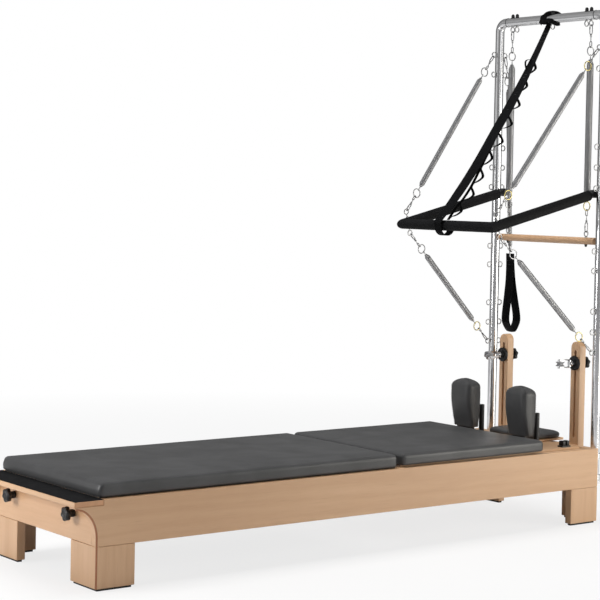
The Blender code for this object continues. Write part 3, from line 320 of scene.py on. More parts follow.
class Tree:
    """Short ways to place and join shader nodes."""

    def __init__(self, tree):
        self.tree = tree

    def node(self, kind, **values):
        """A node. Capitalised words are inputs, with _ for a space, and the rest are settings."""
        made = self.tree.nodes.new(kind)
        for name, value in values.items():
            if name[0].isupper():
                self.feed(made.inputs[name.replace("_", " ")], value)
            else:
                setattr(made, name, value)
        return made

    def feed(self, socket, value):
        if isinstance(value, bpy.types.NodeSocket):
            self.tree.links.new(value, socket)
        elif isinstance(value, bpy.types.Node):
            self.tree.links.new(value.outputs[0], socket)
        else:
            socket.default_value = value

    def math(self, operation, first, second=0.0, clamp=False):
        made = self.node("ShaderNodeMath", operation=operation, use_clamp=clamp)
        self.feed(made.inputs[0], first)
        self.feed(made.inputs[1], second)
        return made.outputs[0]

    def times(self, first, second, clamp=False):
        return self.math("MULTIPLY", first, second, clamp)

    def plus(self, first, second, clamp=False):
        return self.math("ADD", first, second, clamp)

    def vector(self, operation, first, second=None):
        made = self.node("ShaderNodeVectorMath", operation=operation)
        self.feed(made.inputs[0], first)
        if second is not None:
            self.feed(made.inputs[1], second)
        return made

    def mix_shader(self, share, first, second):
        made = self.node("ShaderNodeMixShader")
        for socket, value in zip(made.inputs, (share, first, second)):
            self.feed(socket, value)
        return made

    def stretched(self, vector, scale):
        return self.node("ShaderNodeMapping", Vector=vector, Scale=scale)

    def own_place(self):
        return self.node("ShaderNodeTexCoord").outputs["Object"]

    def mix(self, share, first, second):
        made = self.node("ShaderNodeMix", data_type="RGBA", blend_type="MIX")
        self.feed(made.inputs[0], share)
        self.feed(made.inputs[6], first)
        self.feed(made.inputs[7], second)
        return made.outputs[2]

    def ramp(self, value, low, high, to_low=0.0, to_high=1.0):
        made = self.node("ShaderNodeMapRange", Value=value)
        made.inputs[1].default_value = low
        made.inputs[2].default_value = high
        made.inputs[3].default_value = to_low
        made.inputs[4].default_value = to_high
        return made.outputs[0]

    def noise(self, vector, scale, detail=3.0, roughness=0.5, distortion=0.0):
        return self.node("ShaderNodeTexNoise", Vector=vector, Scale=scale, Detail=detail,
                         Roughness=roughness, Distortion=distortion).outputs[0]


def shade(colour, share):
    """A colour made lighter or darker, with its alpha."""
    return tuple(value * share for value in colour) + (1.0,)


def group(name, inputs, outputs):
    """An empty shader group with named sockets, its tools, and its two end nodes."""
    tree = bpy.data.node_groups.new(name, "ShaderNodeTree")
    for label, kind, value in inputs:
        socket = tree.interface.new_socket(label, in_out="INPUT", socket_type=kind)
        if value is not None:
            socket.default_value = value
    for label, kind in outputs:
        tree.interface.new_socket(label, in_out="OUTPUT", socket_type=kind)
    tools = Tree(tree)
    return tools, tools.node("NodeGroupInput"), tools.node("NodeGroupOutput")


def wood_grain():
    """Maple: fine lines and pores along the grain, broad tone changes and a few small knots."""
    tools, entry, leave = group("wood grain",
                                [("Vector", "NodeSocketVector", None), ("Seed", "NodeSocketFloat", 0.0),
                                 ("Light", "NodeSocketColor", (0.6, 0.4, 0.25, 1)),
                                 ("Dark", "NodeSocketColor", (0.45, 0.26, 0.14, 1)),
                                 ("Contrast", "NodeSocketFloat", 0.6)],
                                [("Color", "NodeSocketColor"), ("Height", "NodeSocketFloat"),
                                 ("Roughness", "NodeSocketFloat")])
    seed = tools.node("ShaderNodeCombineXYZ", X=entry.outputs["Seed"], Y=entry.outputs["Seed"],
                      Z=entry.outputs["Seed"])
    place = tools.vector("ADD", entry.outputs["Vector"], seed)
    stretch = tools.stretched(place.outputs[0], (0.055, 1.0, 1.0))
    broad = tools.noise(stretch, 9.0, 4.0, 0.55, 0.9)
    lines = tools.node("ShaderNodeTexWave", Vector=stretch, Scale=7.5, Distortion=16.0, Detail=3.0,
                       Detail_Scale=0.9, Detail_Roughness=0.6, wave_type="BANDS",
                       bands_direction="Z").outputs["Fac"]
    fine = tools.noise(stretch, 190.0, 5.0, 0.65)
    pores = tools.noise(tools.stretched(place.outputs[0], (0.02, 1.0, 1.0)), 620.0, 2.0, 0.5)
    cloud = tools.noise(tools.stretched(place.outputs[0], (0.35, 1.0, 1.0)), 4.2, 2.0, 0.5)
    knots = tools.node("ShaderNodeTexVoronoi", Vector=tools.stretched(place.outputs[0], (0.55, 1.0, 1.0)),
                       Scale=3.1, Randomness=1.0)
    knot = tools.ramp(knots.outputs["Distance"], 0.02, 0.075, 1.0, 0.0)
    grain = tools.plus(tools.times(broad, 0.50), tools.times(lines, 0.14))
    grain = tools.plus(grain, tools.times(fine, 0.36))
    share = tools.ramp(grain, 0.30, 0.70)
    share = tools.times(share, entry.outputs["Contrast"], True)
    base = tools.mix(share, entry.outputs["Light"], entry.outputs["Dark"])
    warm = tools.mix(tools.ramp(cloud, 0.4, 0.75, 0.0, 0.35), base, entry.outputs["Dark"])
    darker = tools.mix(tools.times(knot, 0.45), warm, (0.16, 0.075, 0.035, 1.0))
    speck = tools.mix(tools.ramp(pores, 0.62, 0.78, 0.0, 0.22), darker, (0.22, 0.11, 0.05, 1.0))
    tools.feed(leave.inputs["Color"], speck)
    tools.feed(leave.inputs["Height"], tools.plus(tools.times(fine, 0.6), pores))
    tools.feed(leave.inputs["Roughness"], tools.ramp(broad, 0.3, 0.7, 0.36, 0.46))
    return tools.tree


def edge_wear():
    """A mask that is 1 along worn outer edges, broken up by noise."""
    tools, entry, leave = group("edge wear", [("Width", "NodeSocketFloat", 0.002)],
                                [("Mask", "NodeSocketFloat")])
    rounded = tools.node("ShaderNodeBevel", samples=6, Radius=entry.outputs["Width"])
    flat = tools.node("ShaderNodeNewGeometry")
    turn = tools.vector("DOT_PRODUCT", rounded.outputs[0], flat.outputs["Normal"])
    bent = tools.ramp(turn.outputs["Value"], 0.99, 0.85, 0.0, 1.0)
    place = tools.own_place()
    patchy = tools.ramp(tools.noise(place, 45.0, 4.0, 0.6), 0.35, 0.65, 0.25, 1.0)
    tools.feed(leave.inputs["Mask"], tools.times(bent, patchy, True))
    return tools.tree


def skin_grain():
    """Pebbled leather: cells of two sizes with soft creases between them, and handled patches."""
    tools, entry, leave = group("skin grain", [("Scale", "NodeSocketFloat", 420.0)],
                                [("Height", "NodeSocketFloat"), ("Patches", "NodeSocketFloat")])
    place = tools.own_place()
    shift = tools.node("ShaderNodeVectorMath", operation="SCALE", Scale=0.002)
    tools.feed(shift.inputs[0], tools.node("ShaderNodeTexNoise", Vector=place, Scale=180.0).outputs["Color"])
    warped = tools.vector("ADD", place, shift)
    cells = tools.node("ShaderNodeTexVoronoi", Vector=warped.outputs[0], Scale=entry.outputs["Scale"],
                       feature="SMOOTH_F1", Smoothness=0.35)
    coarse = tools.node("ShaderNodeTexVoronoi", Vector=warped.outputs[0],
                        Scale=tools.times(entry.outputs["Scale"], 0.42), feature="F1")
    height = tools.plus(tools.times(cells.outputs["Distance"], 0.7),
                        tools.times(coarse.outputs["Distance"], 0.3))
    tools.feed(leave.inputs["Height"], tools.math("SUBTRACT", 1.0, height))
    tools.feed(leave.inputs["Patches"], tools.noise(place, 5.5, 3.0, 0.55, 0.4))
    return tools.tree


def weave():
    """Woven webbing, from a map in metres along and across the strap."""
    tools, entry, leave = group("weave", [("Thread", "NodeSocketFloat", 0.0016)],
                                [("Height", "NodeSocketFloat"), ("Tone", "NodeSocketFloat")])
    place = tools.node("ShaderNodeUVMap", uv_map="weave").outputs[0]
    parts = tools.node("ShaderNodeSeparateXYZ", Vector=place)
    along = tools.math("DIVIDE", parts.outputs["X"], entry.outputs["Thread"])
    across = tools.math("DIVIDE", parts.outputs["Y"], entry.outputs["Thread"])
    warp = tools.math("SINE", tools.times(tools.plus(along, across), math.pi))
    weft = tools.math("SINE", tools.times(tools.math("SUBTRACT", along, across), math.pi))
    height = tools.math("ABSOLUTE", tools.times(warp, weft))
    fuzz = tools.noise(tools.own_place(), 900.0, 3.0, 0.6)
    tools.feed(leave.inputs["Height"], tools.plus(height, tools.times(fuzz, 0.5)))
    tools.feed(leave.inputs["Tone"], tools.times(tools.plus(height, fuzz), 0.5))
    return tools.tree


def polish():
    """Slight wipe marks, fine scratches and fingerprints on metal and lacquer."""
    tools, entry, leave = group("polish", [("Amount", "NodeSocketFloat", 0.1),
                                           ("Base", "NodeSocketFloat", 0.2)],
                                [("Roughness", "NodeSocketFloat"), ("Height", "NodeSocketFloat")])
    place = tools.own_place()
    smears = tools.noise(place, 26.0, 5.0, 0.7, 1.5)
    lines = tools.noise(tools.stretched(place, (1.0, 1.0, 0.03)), 700.0, 2.0)
    both = tools.plus(tools.times(smears, 0.6), tools.times(lines, 0.4))
    spread = tools.times(tools.math("SUBTRACT", both, 0.5), entry.outputs["Amount"])
    tools.feed(leave.inputs["Roughness"], tools.plus(entry.outputs["Base"], spread, True))
    tools.feed(leave.inputs["Height"], lines)
    return tools.tree


groups = {}
materials = {}


def placed_group(tools, name, **values):
    return tools.node("ShaderNodeGroup", node_tree=groups[name], **values)


def material(name, **values):
    """A new material with its shader, set on the shader's own sockets."""
    made = bpy.data.materials.new(name)
    made.use_nodes = True
    tools = Tree(made.node_tree)
    shader = made.node_tree.nodes["Principled BSDF"]
    for label, value in values.items():
        shader.inputs[label.replace("_", " ")].default_value = value
    materials[name] = made
    return tools, shader


def bump(tools, shader, height, strength, distance):
    made = tools.node("ShaderNodeBump", Strength=strength, Distance=distance, Height=height)
    tools.feed(shader.inputs["Normal"], made)


def maple(name, turn, seed, tint=(1.0, 1.0, 1.0)):
    """Lacquered maple whose grain runs along one axis of the object."""
    colours = bpy.context.scene.reformer_colours
    tools, shader = material(name, Coat_Weight=0.25, Coat_Roughness=0.22, Specular_IOR_Level=0.45)
    place = tools.node("ShaderNodeMapping", Vector=tools.own_place(), Rotation=turn)
    light = tuple(value * stain for value, stain in zip(colours.maple, tint)) + (1.0,)
    dark = tuple(value * stain for value, stain in zip(colours.maple_line, tint)) + (1.0,)
    grain = placed_group(tools, "wood grain", Vector=place, Seed=seed, Light=light, Dark=dark,
                         Contrast=0.55)
    worn = placed_group(tools, "edge wear", Width=0.003)
    edges = tools.mix(tools.times(worn.outputs["Mask"], 0.35), grain.outputs["Color"],
                      (0.33, 0.17, 0.08, 1.0))
    tools.feed(shader.inputs["Base Color"], edges)
    tools.feed(shader.inputs["Roughness"], grain.outputs["Roughness"])
    bump(tools, shader, grain.outputs["Height"], 0.10, 0.0004)


def leather():
    """Dark leatherette, a little shinier where it is handled and along its edges."""
    colours = bpy.context.scene.reformer_colours
    tools, shader = material("leather", Specular_IOR_Level=0.40, Sheen_Weight=0.02, Sheen_Roughness=0.5)
    skin = placed_group(tools, "skin grain", Scale=520.0)
    worn = placed_group(tools, "edge wear", Width=0.006)
    dark = shade(colours.leather, 0.86)
    light = shade(colours.leather, 1.12)
    tone = tools.mix(tools.ramp(skin.outputs["Patches"], 0.35, 0.65), dark, light)
    tone = tools.mix(tools.times(worn.outputs["Mask"], 0.25), tone, (0.10, 0.10, 0.102, 1.0))
    tools.feed(shader.inputs["Base Color"], tone)
    rough = tools.ramp(skin.outputs["Patches"], 0.3, 0.7, 0.44, 0.37)
    tools.feed(shader.inputs["Roughness"],
               tools.math("SUBTRACT", rough, tools.times(worn.outputs["Mask"], 0.08)))
    bump(tools, shader, skin.outputs["Height"], 0.22, 0.0005)


def metal(name, colour, base, amount, roughening=0.02, metallic=1.0):
    """Bright or plated metal with wipe marks."""
    tools, shader = material(name, Base_Color=(*colour, 1.0), Metallic=metallic)
    marks = placed_group(tools, "polish", Amount=amount, Base=base)
    worn = placed_group(tools, "edge wear", Width=0.001)
    dull = shade(colour, 0.82)
    bright = tuple(min(value * 1.12, 1.0) for value in colour) + (1.0,)
    tone = tools.mix(tools.ramp(marks.outputs["Roughness"], base - amount / 4, base + amount / 4), bright,
                     dull)
    tools.feed(shader.inputs["Base Color"],
               tools.mix(tools.times(worn.outputs["Mask"], 0.4), tone, bright))
    tools.feed(shader.inputs["Roughness"], marks.outputs["Roughness"])
    bump(tools, shader, marks.outputs["Height"], roughening, 0.0003)


def moulded(name, colour, rough, scale, depth, worn_colour=(0.06, 0.06, 0.062), gloss=0.4):
    """Moulded plastic, rubber or foam with a fine surface texture."""
    tools, shader = material(name, Specular_IOR_Level=gloss)
    place = tools.own_place()
    speckle = tools.noise(place, scale, 4.0, 0.6)
    patches = tools.noise(place, 18.0, 3.0, 0.5)
    worn = placed_group(tools, "edge wear", Width=0.0015)
    low = shade(colour, 0.8)
    high = shade(colour, 1.3)
    tone = tools.mix(tools.ramp(patches, 0.35, 0.65), low, high)
    tools.feed(shader.inputs["Base Color"],
               tools.mix(tools.times(worn.outputs["Mask"], 0.5), tone, (*worn_colour, 1.0)))
    tools.feed(shader.inputs["Roughness"], tools.ramp(patches, 0.3, 0.7, rough - 0.05, rough + 0.05))
    bump(tools, shader, speckle, 0.25, depth)


def non_slip():
    """A black rubber sheet with a fine raised pattern of dots."""
    tools, shader = material("non_slip", Specular_IOR_Level=0.14)
    place = tools.own_place()
    dots = tools.node("ShaderNodeTexVoronoi", Vector=place, Scale=330.0, Randomness=0.25)
    raised = tools.ramp(dots.outputs["Distance"], 0.25, 0.45, 1.0, 0.0)
    dust = tools.noise(place, 30.0, 5.0, 0.65)
    tone = tools.mix(tools.ramp(dust, 0.4, 0.75), (0.006, 0.006, 0.0065, 1.0), (0.013, 0.013, 0.0135, 1.0))
    tools.feed(shader.inputs["Base Color"], tone)
    tools.feed(shader.inputs["Roughness"], tools.ramp(raised, 0.0, 1.0, 0.85, 0.62))
    bump(tools, shader, raised, 0.5, 0.0006)


def woven(name, colour, thread):
    tools, shader = material(name, Specular_IOR_Level=0.06, Sheen_Weight=0.01, Sheen_Roughness=0.4)
    cloth = placed_group(tools, "weave", Thread=thread)
    low = shade(colour, 0.6)
    high = shade(colour, 1.5)
    tools.feed(shader.inputs["Base Color"],
               tools.mix(tools.ramp(cloth.outputs["Tone"], 0.2, 0.9), low, high))
    tools.feed(shader.inputs["Roughness"], tools.ramp(cloth.outputs["Tone"], 0.2, 0.9, 0.85, 0.62))
    bump(tools, shader, cloth.outputs["Height"], 0.5, 0.0005)


def thread_finish():
    tools, shader = material("thread", Sheen_Weight=0.1)
    place = tools.own_place()
    twist = tools.noise(place, 1400.0, 2.0, 0.5)
    tools.feed(shader.inputs["Base Color"],
               tools.mix(twist, (0.035, 0.035, 0.036, 1.0), (0.085, 0.085, 0.087, 1.0)))
    tools.feed(shader.inputs["Roughness"], tools.ramp(twist, 0.0, 1.0, 0.65, 0.5))
    bump(tools, shader, twist, 0.4, 0.0002)


def make_materials():
    colours = bpy.context.scene.reformer_colours
    for build in (wood_grain, edge_wear, skin_grain, weave, polish):
        made = build()
        groups[made.name] = made
    quarter = math.pi / 2
    maple("maple_long", (0, 0, 0), 0.0)
    maple("maple_long_far", (0, 0, 0), 5.3)
    maple("maple_across", (0, 0, -quarter), 2.1, (1.03, 1.03, 1.03))
    maple("maple_upright", (0, quarter, 0), 7.7, (0.97, 0.97, 0.97))
    maple("maple_dowel", (0, 0, -quarter), 11.0, (0.90, 0.90, 0.90))
    maple("maple_end", (0, quarter, 0), 3.4, (0.92, 0.78, 0.70))
    # Rail ends' rounded edge: darker partly as end grain and partly as painted shade from the hollow
    maple("maple_arris", (0, quarter, 0), 4.4, (0.58, 0.36, 0.25))
    leather()
    metal("polished_steel", colours.steel, 0.18, 0.06, 0.004)
    metal("spring_steel", shade(colours.steel, 0.66)[:3], 0.40, 0.08, 0.01)
    metal("hook_steel", shade(colours.steel, 0.50)[:3], 0.22, 0.12)
    metal("yellow_zinc", colours.zinc, 0.26, 0.14)
    metal("track_aluminium", (0.56, 0.57, 0.58), 0.34, 0.16, 0.06)
    metal("black_steel", (0.018, 0.018, 0.019), 0.38, 0.14, 0.03, 0.0)
    moulded("black_plastic", colours.black, 0.42, 1500.0, 0.0002)
    moulded("foam", (0.006, 0.006, 0.0065), 0.78, 2600.0, 0.0005, (0.012, 0.012, 0.0125), 0.16)
    moulded("rubber", (0.010, 0.010, 0.010), 0.70, 900.0, 0.0003)
    moulded("grey_plastic", (0.30, 0.30, 0.31), 0.40, 1200.0, 0.0002, (0.42, 0.42, 0.43))
    # Near-black board under the mat cover: its dark tone is a painted shadow for the gap under the cover
    moulded("board_painted_shadow", (0.030, 0.028, 0.026), 0.8, 600.0, 0.0005)
    non_slip()
    woven("webbing", colours.webbing, 0.0018)
    thread_finish()


def dress(name, finish, edge=0.0012, angle=38):
    """Gives a frame part its finish, joins its loose faces and softens its edges."""
    part = frame["nodes"][name]
    mesh = part.data
    mesh.materials.clear()
    mesh.materials.append(materials[finish])
    mesh.polygons.foreach_set("use_smooth", [True] * len(mesh.polygons))
    joined = part.modifiers.new("joined", "WELD")
    joined.merge_threshold = 0.00002
    if edge:
        soft = part.modifiers.new("soft edges", "BEVEL")
        soft.width = edge
        soft.segments = 2
        soft.limit_method = "ANGLE"
        soft.angle_limit = math.radians(angle)
    shading = part.modifiers.new("even shading", "WEIGHTED_NORMAL")
    shading.weight = 50
    return part


def repaint(name, finish, chosen):
    """Gives the faces of a frame part for which chosen(centre) is true a second finish."""
    mesh = frame["nodes"][name].data
    mesh.materials.append(materials[finish])
    index = len(mesh.materials) - 1
    for face in mesh.polygons:
        if chosen(face.center):
            face.material_index = index


# Upholstery

def rounded_pad(name, low, high, edge, corner, crown, slack, cells, bulge=0.0):
    """An upholstered slab: soft rolled top edges, tight lower edges, crowned top, slightly slack sides."""
    middle = (Vector(low) + Vector(high)) / 2
    half = (Vector(high) - Vector(low)) / 2
    lines = []
    for axis in range(3):
        reach = corner if axis < 2 else edge
        inner = half[axis] - reach
        count = max(cells[axis], 2)
        bend = [inner + reach * share for share in (0.0, 0.25, 0.5, 0.72, 0.9, 1.0)]
        flat = [inner * (2 * step / count - 1) for step in range(1, count)]
        lines.append([-value for value in reversed(bend)] + flat + bend)
    shape = bmesh.new()
    grid = {}

    def point(i, j, k):
        if (i, j, k) not in grid:
            grid[i, j, k] = shape.verts.new((lines[0][i], lines[1][j], lines[2][k]))
        return grid[i, j, k]

    ends = [len(line) - 1 for line in lines]
    for fixed in range(3):
        first, second = [axis for axis in range(3) if axis != fixed]
        for end in (0, ends[fixed]):
            for a in range(ends[first]):
                for b in range(ends[second]):
                    corners = []
                    for da, db in ((0, 0), (1, 0), (1, 1), (0, 1)):
                        index = [0, 0, 0]
                        index[fixed] = end
                        index[first] = a + da
                        index[second] = b + db
                        corners.append(point(*index))
                    outward = (end > 0) != (fixed == 1)
                    shape.faces.new(corners if outward else corners[::-1])
    for vertex in shape.verts:
        place = vertex.co.copy()
        reach = (corner, corner, edge if place.z > 0 else edge * 0.45)
        inner = Vector([min(max(place[axis], reach[axis] - half[axis]), half[axis] - reach[axis])
                        for axis in range(3)])
        away = Vector([(place[axis] - inner[axis]) / reach[axis] for axis in range(3)])
        if away.length > 0:
            away.normalize()
        place = inner + Vector([away[axis] * reach[axis] for axis in range(3)])
        rim = min(half.x - abs(place.x), half.y - abs(place.y))
        wave = noise.noise((place + middle) * 9.0) + 0.5 * noise.noise((place + middle) * 23.0)
        if place.z > 0:
            place.z -= crown * math.exp(-rim / 0.035) - slack * wave * smooth_step(0.0, 0.03, rim)
            place.z -= slack
        pull = 1.0 - bulge * (place.z / half.z) ** 2
        share = smooth_step(0.05, 0.0, rim)
        place.x -= math.copysign(half.x * (1 - pull) * share * 0.01, place.x)
        side_wave = slack * 0.8 * noise.noise((place + middle) * 14.0) * share
        place.x -= math.copysign(slack, place.x) * share + side_wave
        place.y -= math.copysign(slack, place.y) * share + side_wave
        vertex.co = place + middle
    bmesh.ops.recalc_face_normals(shape, faces=shape.faces)
    mesh = bpy.data.meshes.new(name)
    shape.to_mesh(mesh)
    shape.free()
    mesh.polygons.foreach_set("use_smooth", [True] * len(mesh.polygons))
    mesh.materials.append(materials["leather"])
    piece = bpy.data.objects.new(name, mesh)
    bpy.context.scene.collection.objects.link(piece)
    return piece


def upholster(pad, node, body):
    """Puts a padded piece on its body and in its node's place."""
    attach(pad, body)
    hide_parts(node)


def make_mats():
    sizes = bpy.context.scene.reformer_sizes
    rail_gap = 0.0025
    for node, body in (("conversion_mat", "mat"), ("carriage_pad", "carriage")):
        low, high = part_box(node)
        if body == "mat":
            low.z += rail_gap
        pad = rounded_pad(f"{node}_cover", low, high, sizes.edge, 0.016, sizes.crown, sizes.slack,
                          (int((high.x - low.x) / 0.02), 34, 4), 0.3)
        if body == "mat":
            roll_foot_edge(pad.data, low, high)
        upholster(pad, node, body)
    low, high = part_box("conversion_mat")
    # The board under the cover is near black and inset little at the foot and head, a painted shadow in the
    # gap between the cover and the rails
    board = Shape()
    inset = 0.005
    margin = 0.014
    corners = ((low.x + inset, low.y + margin), (high.x - inset, low.y + margin),
               (high.x - inset, high.y - margin), (low.x + inset, high.y - margin))
    board.rings([[(x, y, z) for x, y in corners] for z in (low.z, low.z + rail_gap + 0.004)])
    board.make("conversion_mat_board", "board_painted_shadow", "mat", 30)


def roll_foot_edge(mesh, low, high):
    """The cover's foot edge, which swells over the board in its lower part."""
    swell, reach = 0.004, 0.02
    for vertex in mesh.vertices:
        rise = (vertex.co.z - low.z) / (high.z - low.z)
        near = smooth_step(reach, 0.0, vertex.co.x - low.x)
        vertex.co.x -= swell * near * smooth_step(0.72, 0.42, rise) * smooth_step(-0.05, 0.12, rise)


def rest_levels(node):
    """Levels of a shoulder cushion as (z, foot x, head x, half width, corner radius)."""
    low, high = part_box(node)
    front = low.x
    height, depth, half = 0.202, 0.080, 0.061
    crown = 0.034
    bottom = high.z - height
    shoulder = high.z - crown
    levels = [(bottom, 0.0, 0.93), (bottom + 0.002, 0.0, 0.965), (bottom + 0.006, 0.0, 0.985),
              (bottom + 0.02, 0.05, 0.99)]
    for share in (0.2, 0.35, 0.5, 0.65, 0.8, 0.92):
        z = bottom + share * (shoulder - bottom)
        levels.append((z, smooth_step(-0.1, 0.85, share), 0.99 + 0.01 * smooth_step(0.1, 0.7, share)))
    levels += [(shoulder + crown * rise, 1.0, (1 - rise ** 2.2) ** 0.5)
               for rise in (0.0, 0.2, 0.4, 0.56, 0.7, 0.8, 0.88, 0.94, 0.975, 0.995)]
    found = []
    for z, rise, share in levels:
        start = front + rest_foot_back * (1 - rise)
        foot_end = rest_foot_back + rest_foot_depth
        end = front + foot_end + rise * (depth - foot_end)
        trim = (1 - share) * (end - start) * 0.42
        found.append((z, start + trim, end - trim, half * share, rest_corner(z, bottom, high.z, end - start)))
    return found


def rest_corner(z, bottom, top, depth):
    """Radius of a cushion's upright edges, tight at the bottom and full at the crown."""
    return min(0.014 + 0.009 * smooth_step(0.1, 0.9, (z - bottom) / (top - bottom)), depth / 2.1)


def level_radius(start, end, half, corner):
    """Radius of a level's corners, small enough for its sides."""
    return min(corner, (end - start) / 2.1, half / 1.1)


def rest_outline(level, y, swell=0.0016, steps=7):
    """One level's rounded rectangle, with faces that swell between the seams."""
    z, start, end, half, corner = level
    radius = level_radius(start, end, half, corner)
    points = []
    for turn, (u, v) in enumerate(((1, 1), (-1, 1), (-1, -1), (1, -1))):
        x = end - radius if u > 0 else start + radius
        across = y + v * (half - radius)
        for step in range(steps + 1):
            a = math.radians(90 * (turn + step / steps))
            points.append(Vector((x + radius * math.cos(a), across + radius * math.sin(a), z)))
        following = ((-1, 1), (-1, -1), (1, -1), (1, 1))[turn]
        next_x = end - radius if following[0] > 0 else start + radius
        next_y = y + following[1] * (half - radius)
        a = math.radians(90 * (turn + 1))
        last = points[-1]
        target = Vector((next_x + radius * math.cos(a), next_y + radius * math.sin(a), z))
        for step in range(1, 6):
            share = step / 6
            out = Vector((math.cos(a), math.sin(a), 0)) * swell * math.sin(math.pi * share)
            points.append(last.lerp(target, share) + out)
    return points


def make_shoulder_rests():
    sizes = bpy.context.scene.reformer_sizes
    for label, side in sides:
        node = f"shoulder_rest_{label}"
        low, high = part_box(node)
        y = (low.y + high.y) / 2
        levels = rest_levels(node)
        rings = []
        for level in levels:
            ring = rest_outline(level, y)
            rings.append([point + Vector((rest_shift, 0, 0)) for point in ring])
        cushion = Shape()
        cushion.rings(rings)
        piece = cushion.make(f"{node}_cushion", "leather")
        for vertex in piece.data.vertices:
            wave = noise.noise(vertex.co * 21.0) * 0.0007
            vertex.co.x += wave
            vertex.co.y += math.copysign(wave, vertex.co.y - y)
        upholster(piece, node, f"rest_{label}")
        make_rest_seams(label, y, levels, sizes.stitch)
        make_rest_bracket(label, y, levels[0][0])


def make_rest_seams(label, y, levels, stitch):
    """A sewn seam round the front and the back edge of a cushion, with its row of stitches."""
    welt = Shape()
    stitches = Shape()
    for facing in (-1, 1):
        path = []
        for way in (-1, 1):
            line = []
            for z, start, end, half, corner in levels:
                radius = level_radius(start, end, half, corner)
                x = start + radius * 0.62 if facing < 0 else end - radius * 0.62
                line.append(Vector((x + rest_shift, y + way * (half - radius * 0.08), z)))
            path.append(line)
        whole = path[0] + path[1][::-1]
        welt.tube(curve_through(whole, 3), 0.0017, 8)
        row = curve_through([point + Vector((facing * 0.0042, 0, 0)) for point in whole], 6)
        walked = 0.0
        for before, after in zip(row, row[1:]):
            walked += (after - before).length
            if walked >= stitch:
                walked = 0.0
                way = (after - before).normalized()
                stitch_thread(stitches, after, way * stitch * 0.36, Vector(), 0.00062)
    welt.make(f"shoulder_rest_{label}_welt", "leather", f"rest_{label}")
    stitches.make(f"shoulder_rest_{label}_stitches", "thread", f"rest_{label}")


def plate(shape, centre, across, along, outline, thickness):
    """A flat plate: outline points along two directions, thickened square to both."""
    across = Vector(across)
    along = Vector(along)
    up = across.cross(along).normalized() * thickness / 2
    middle = Vector(centre)
    rings = [[middle + across * u + along * v + way * up for u, v in outline] for way in (-1, 1)]
    shape.rings(rings)


def rounded_outline(half_u, half_v, radius, steps=5):
    """A rectangle with round corners, counter-clockwise."""
    points = []
    for turn, (u, v) in enumerate(((1, 1), (-1, 1), (-1, -1), (1, -1))):
        for step in range(steps + 1):
            a = math.radians(90 * (turn + step / steps))
            points.append((u * (half_u - radius) + radius * math.cos(a),
                           v * (half_v - radius) + radius * math.sin(a)))
    return points


def make_rest_bracket(label, y, under):
    """The black steel bracket that plugs a cushion into the deck."""
    low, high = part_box(f"shoulder_rest_{label}")
    x = low.x + rest_foot_back + rest_foot_depth / 2
    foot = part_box("carriage_pad")[0].z
    shape = Shape()
    plate(shape, (x, y, under - 0.0024), (1, 0, 0), (0, 1, 0), rounded_outline(0.018, 0.040, 0.005), 0.0045)
    plate(shape, (x, y, (under + foot) / 2), (0, 1, 0), (0, 0, 1),
          rounded_outline(0.030, (under - foot) / 2 - 0.001, 0.002), 0.005)
    plate(shape, (x, y, foot + 0.0026), (1, 0, 0), (0, 1, 0), rounded_outline(0.013, 0.030, 0.004), 0.0048)
    for way in (-1, 1):
        shape.lathe(((0.0, 0.0), (0.0042, 0.0), (0.0042, 0.0012), (0.003, 0.0024), (0.0, 0.0028)),
                    (x - 0.007, y + way * 0.018, foot + 0.005), (0, 0, 1), 12)
    shape.lathe(disc(0.0058, 0.0, 0.014), (x, y, foot - 0.0135), (0, 0, 1), 16)
    shape.make(f"shoulder_rest_{label}_bracket", "black_steel", f"rest_{label}", 35)


def make_headrest():
    sizes = bpy.context.scene.reformer_sizes
    low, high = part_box("headrest_pad")
    edge, corner, crown = 0.013, 0.045, 0.004
    pad = rounded_pad("headrest_cover", low, high, edge, corner, crown, sizes.slack, (10, 18, 3), 0.3)
    upholster(pad, "headrest_pad", "headrest")


# Wood and frame fittings

def make_wood():
    for name, finish in (("rail_near", "maple_long"), ("rail_far", "maple_long_far"),
                         ("front_board", "maple_across"), ("head_board", "maple_across"),
                         ("standing_platform", "maple_across"), ("riser_near", "maple_upright"),
                         ("riser_far", "maple_upright"), ("headrest_flap", "maple_across")):
        dress(name, finish, 0.0014)
    for end in ("foot", "head"):
        for label, side in sides:
            dress(f"leg_{end}_{label}", "maple_upright", 0.0014)
            dress(f"foot_pad_{end}_{label}", "rubber", 0.001)
            dress(f"wheel_{end}_{label}", "grey_plastic", 0.0006)
    dress("platform_grip", "non_slip", 0.0006)
    board_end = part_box("standing_platform")[1].y - 0.002
    repaint("standing_platform", "maple_end", lambda centre: abs(centre.y) > board_end)
    make_arrises()
    for label, side in sides:
        steel_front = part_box(f"riser_{label}")[1].x - 0.0052
        repaint(f"riser_{label}", "hook_steel", lambda centre: centre.x > steel_front)
        dress(f"track_{label}", "track_aluminium", 0.0006)
        dress(f"tower_bracket_{label}", "polished_steel", 0.0006)
    dress("spring_bar", "polished_steel", 0.0006)


def make_arrises():
    """The darker rounded edge that runs round each rail's hollow end and down its leg; its dark tone is
    partly the end grain's own colour and partly painted shade.
    """
    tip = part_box("rail_near")[0].x
    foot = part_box("front_board")[0].x
    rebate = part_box("standing_platform")[0].z
    hollow = 0.104
    inset = 0.0030
    for label, side in sides:
        y = side * (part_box("rail_far")[1].y - inset)
        bottom = rebate - 0.004 - hollow
        path = [Vector((tip + inset + (foot - tip) * math.cos(a), y,
                        bottom - inset * 0.5 + hollow * math.sin(a)))
                for a in [math.radians(88 - 88 * step / 16) for step in range(17)]]
        path.append(Vector((foot + inset, y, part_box(f"leg_foot_{label}")[0].z + 0.001)))
        edge = Shape()
        edge.tube(path, 0.0040, 12)
        edge.make(f"foot_arris_{label}", "maple_arris", "frame", 60)


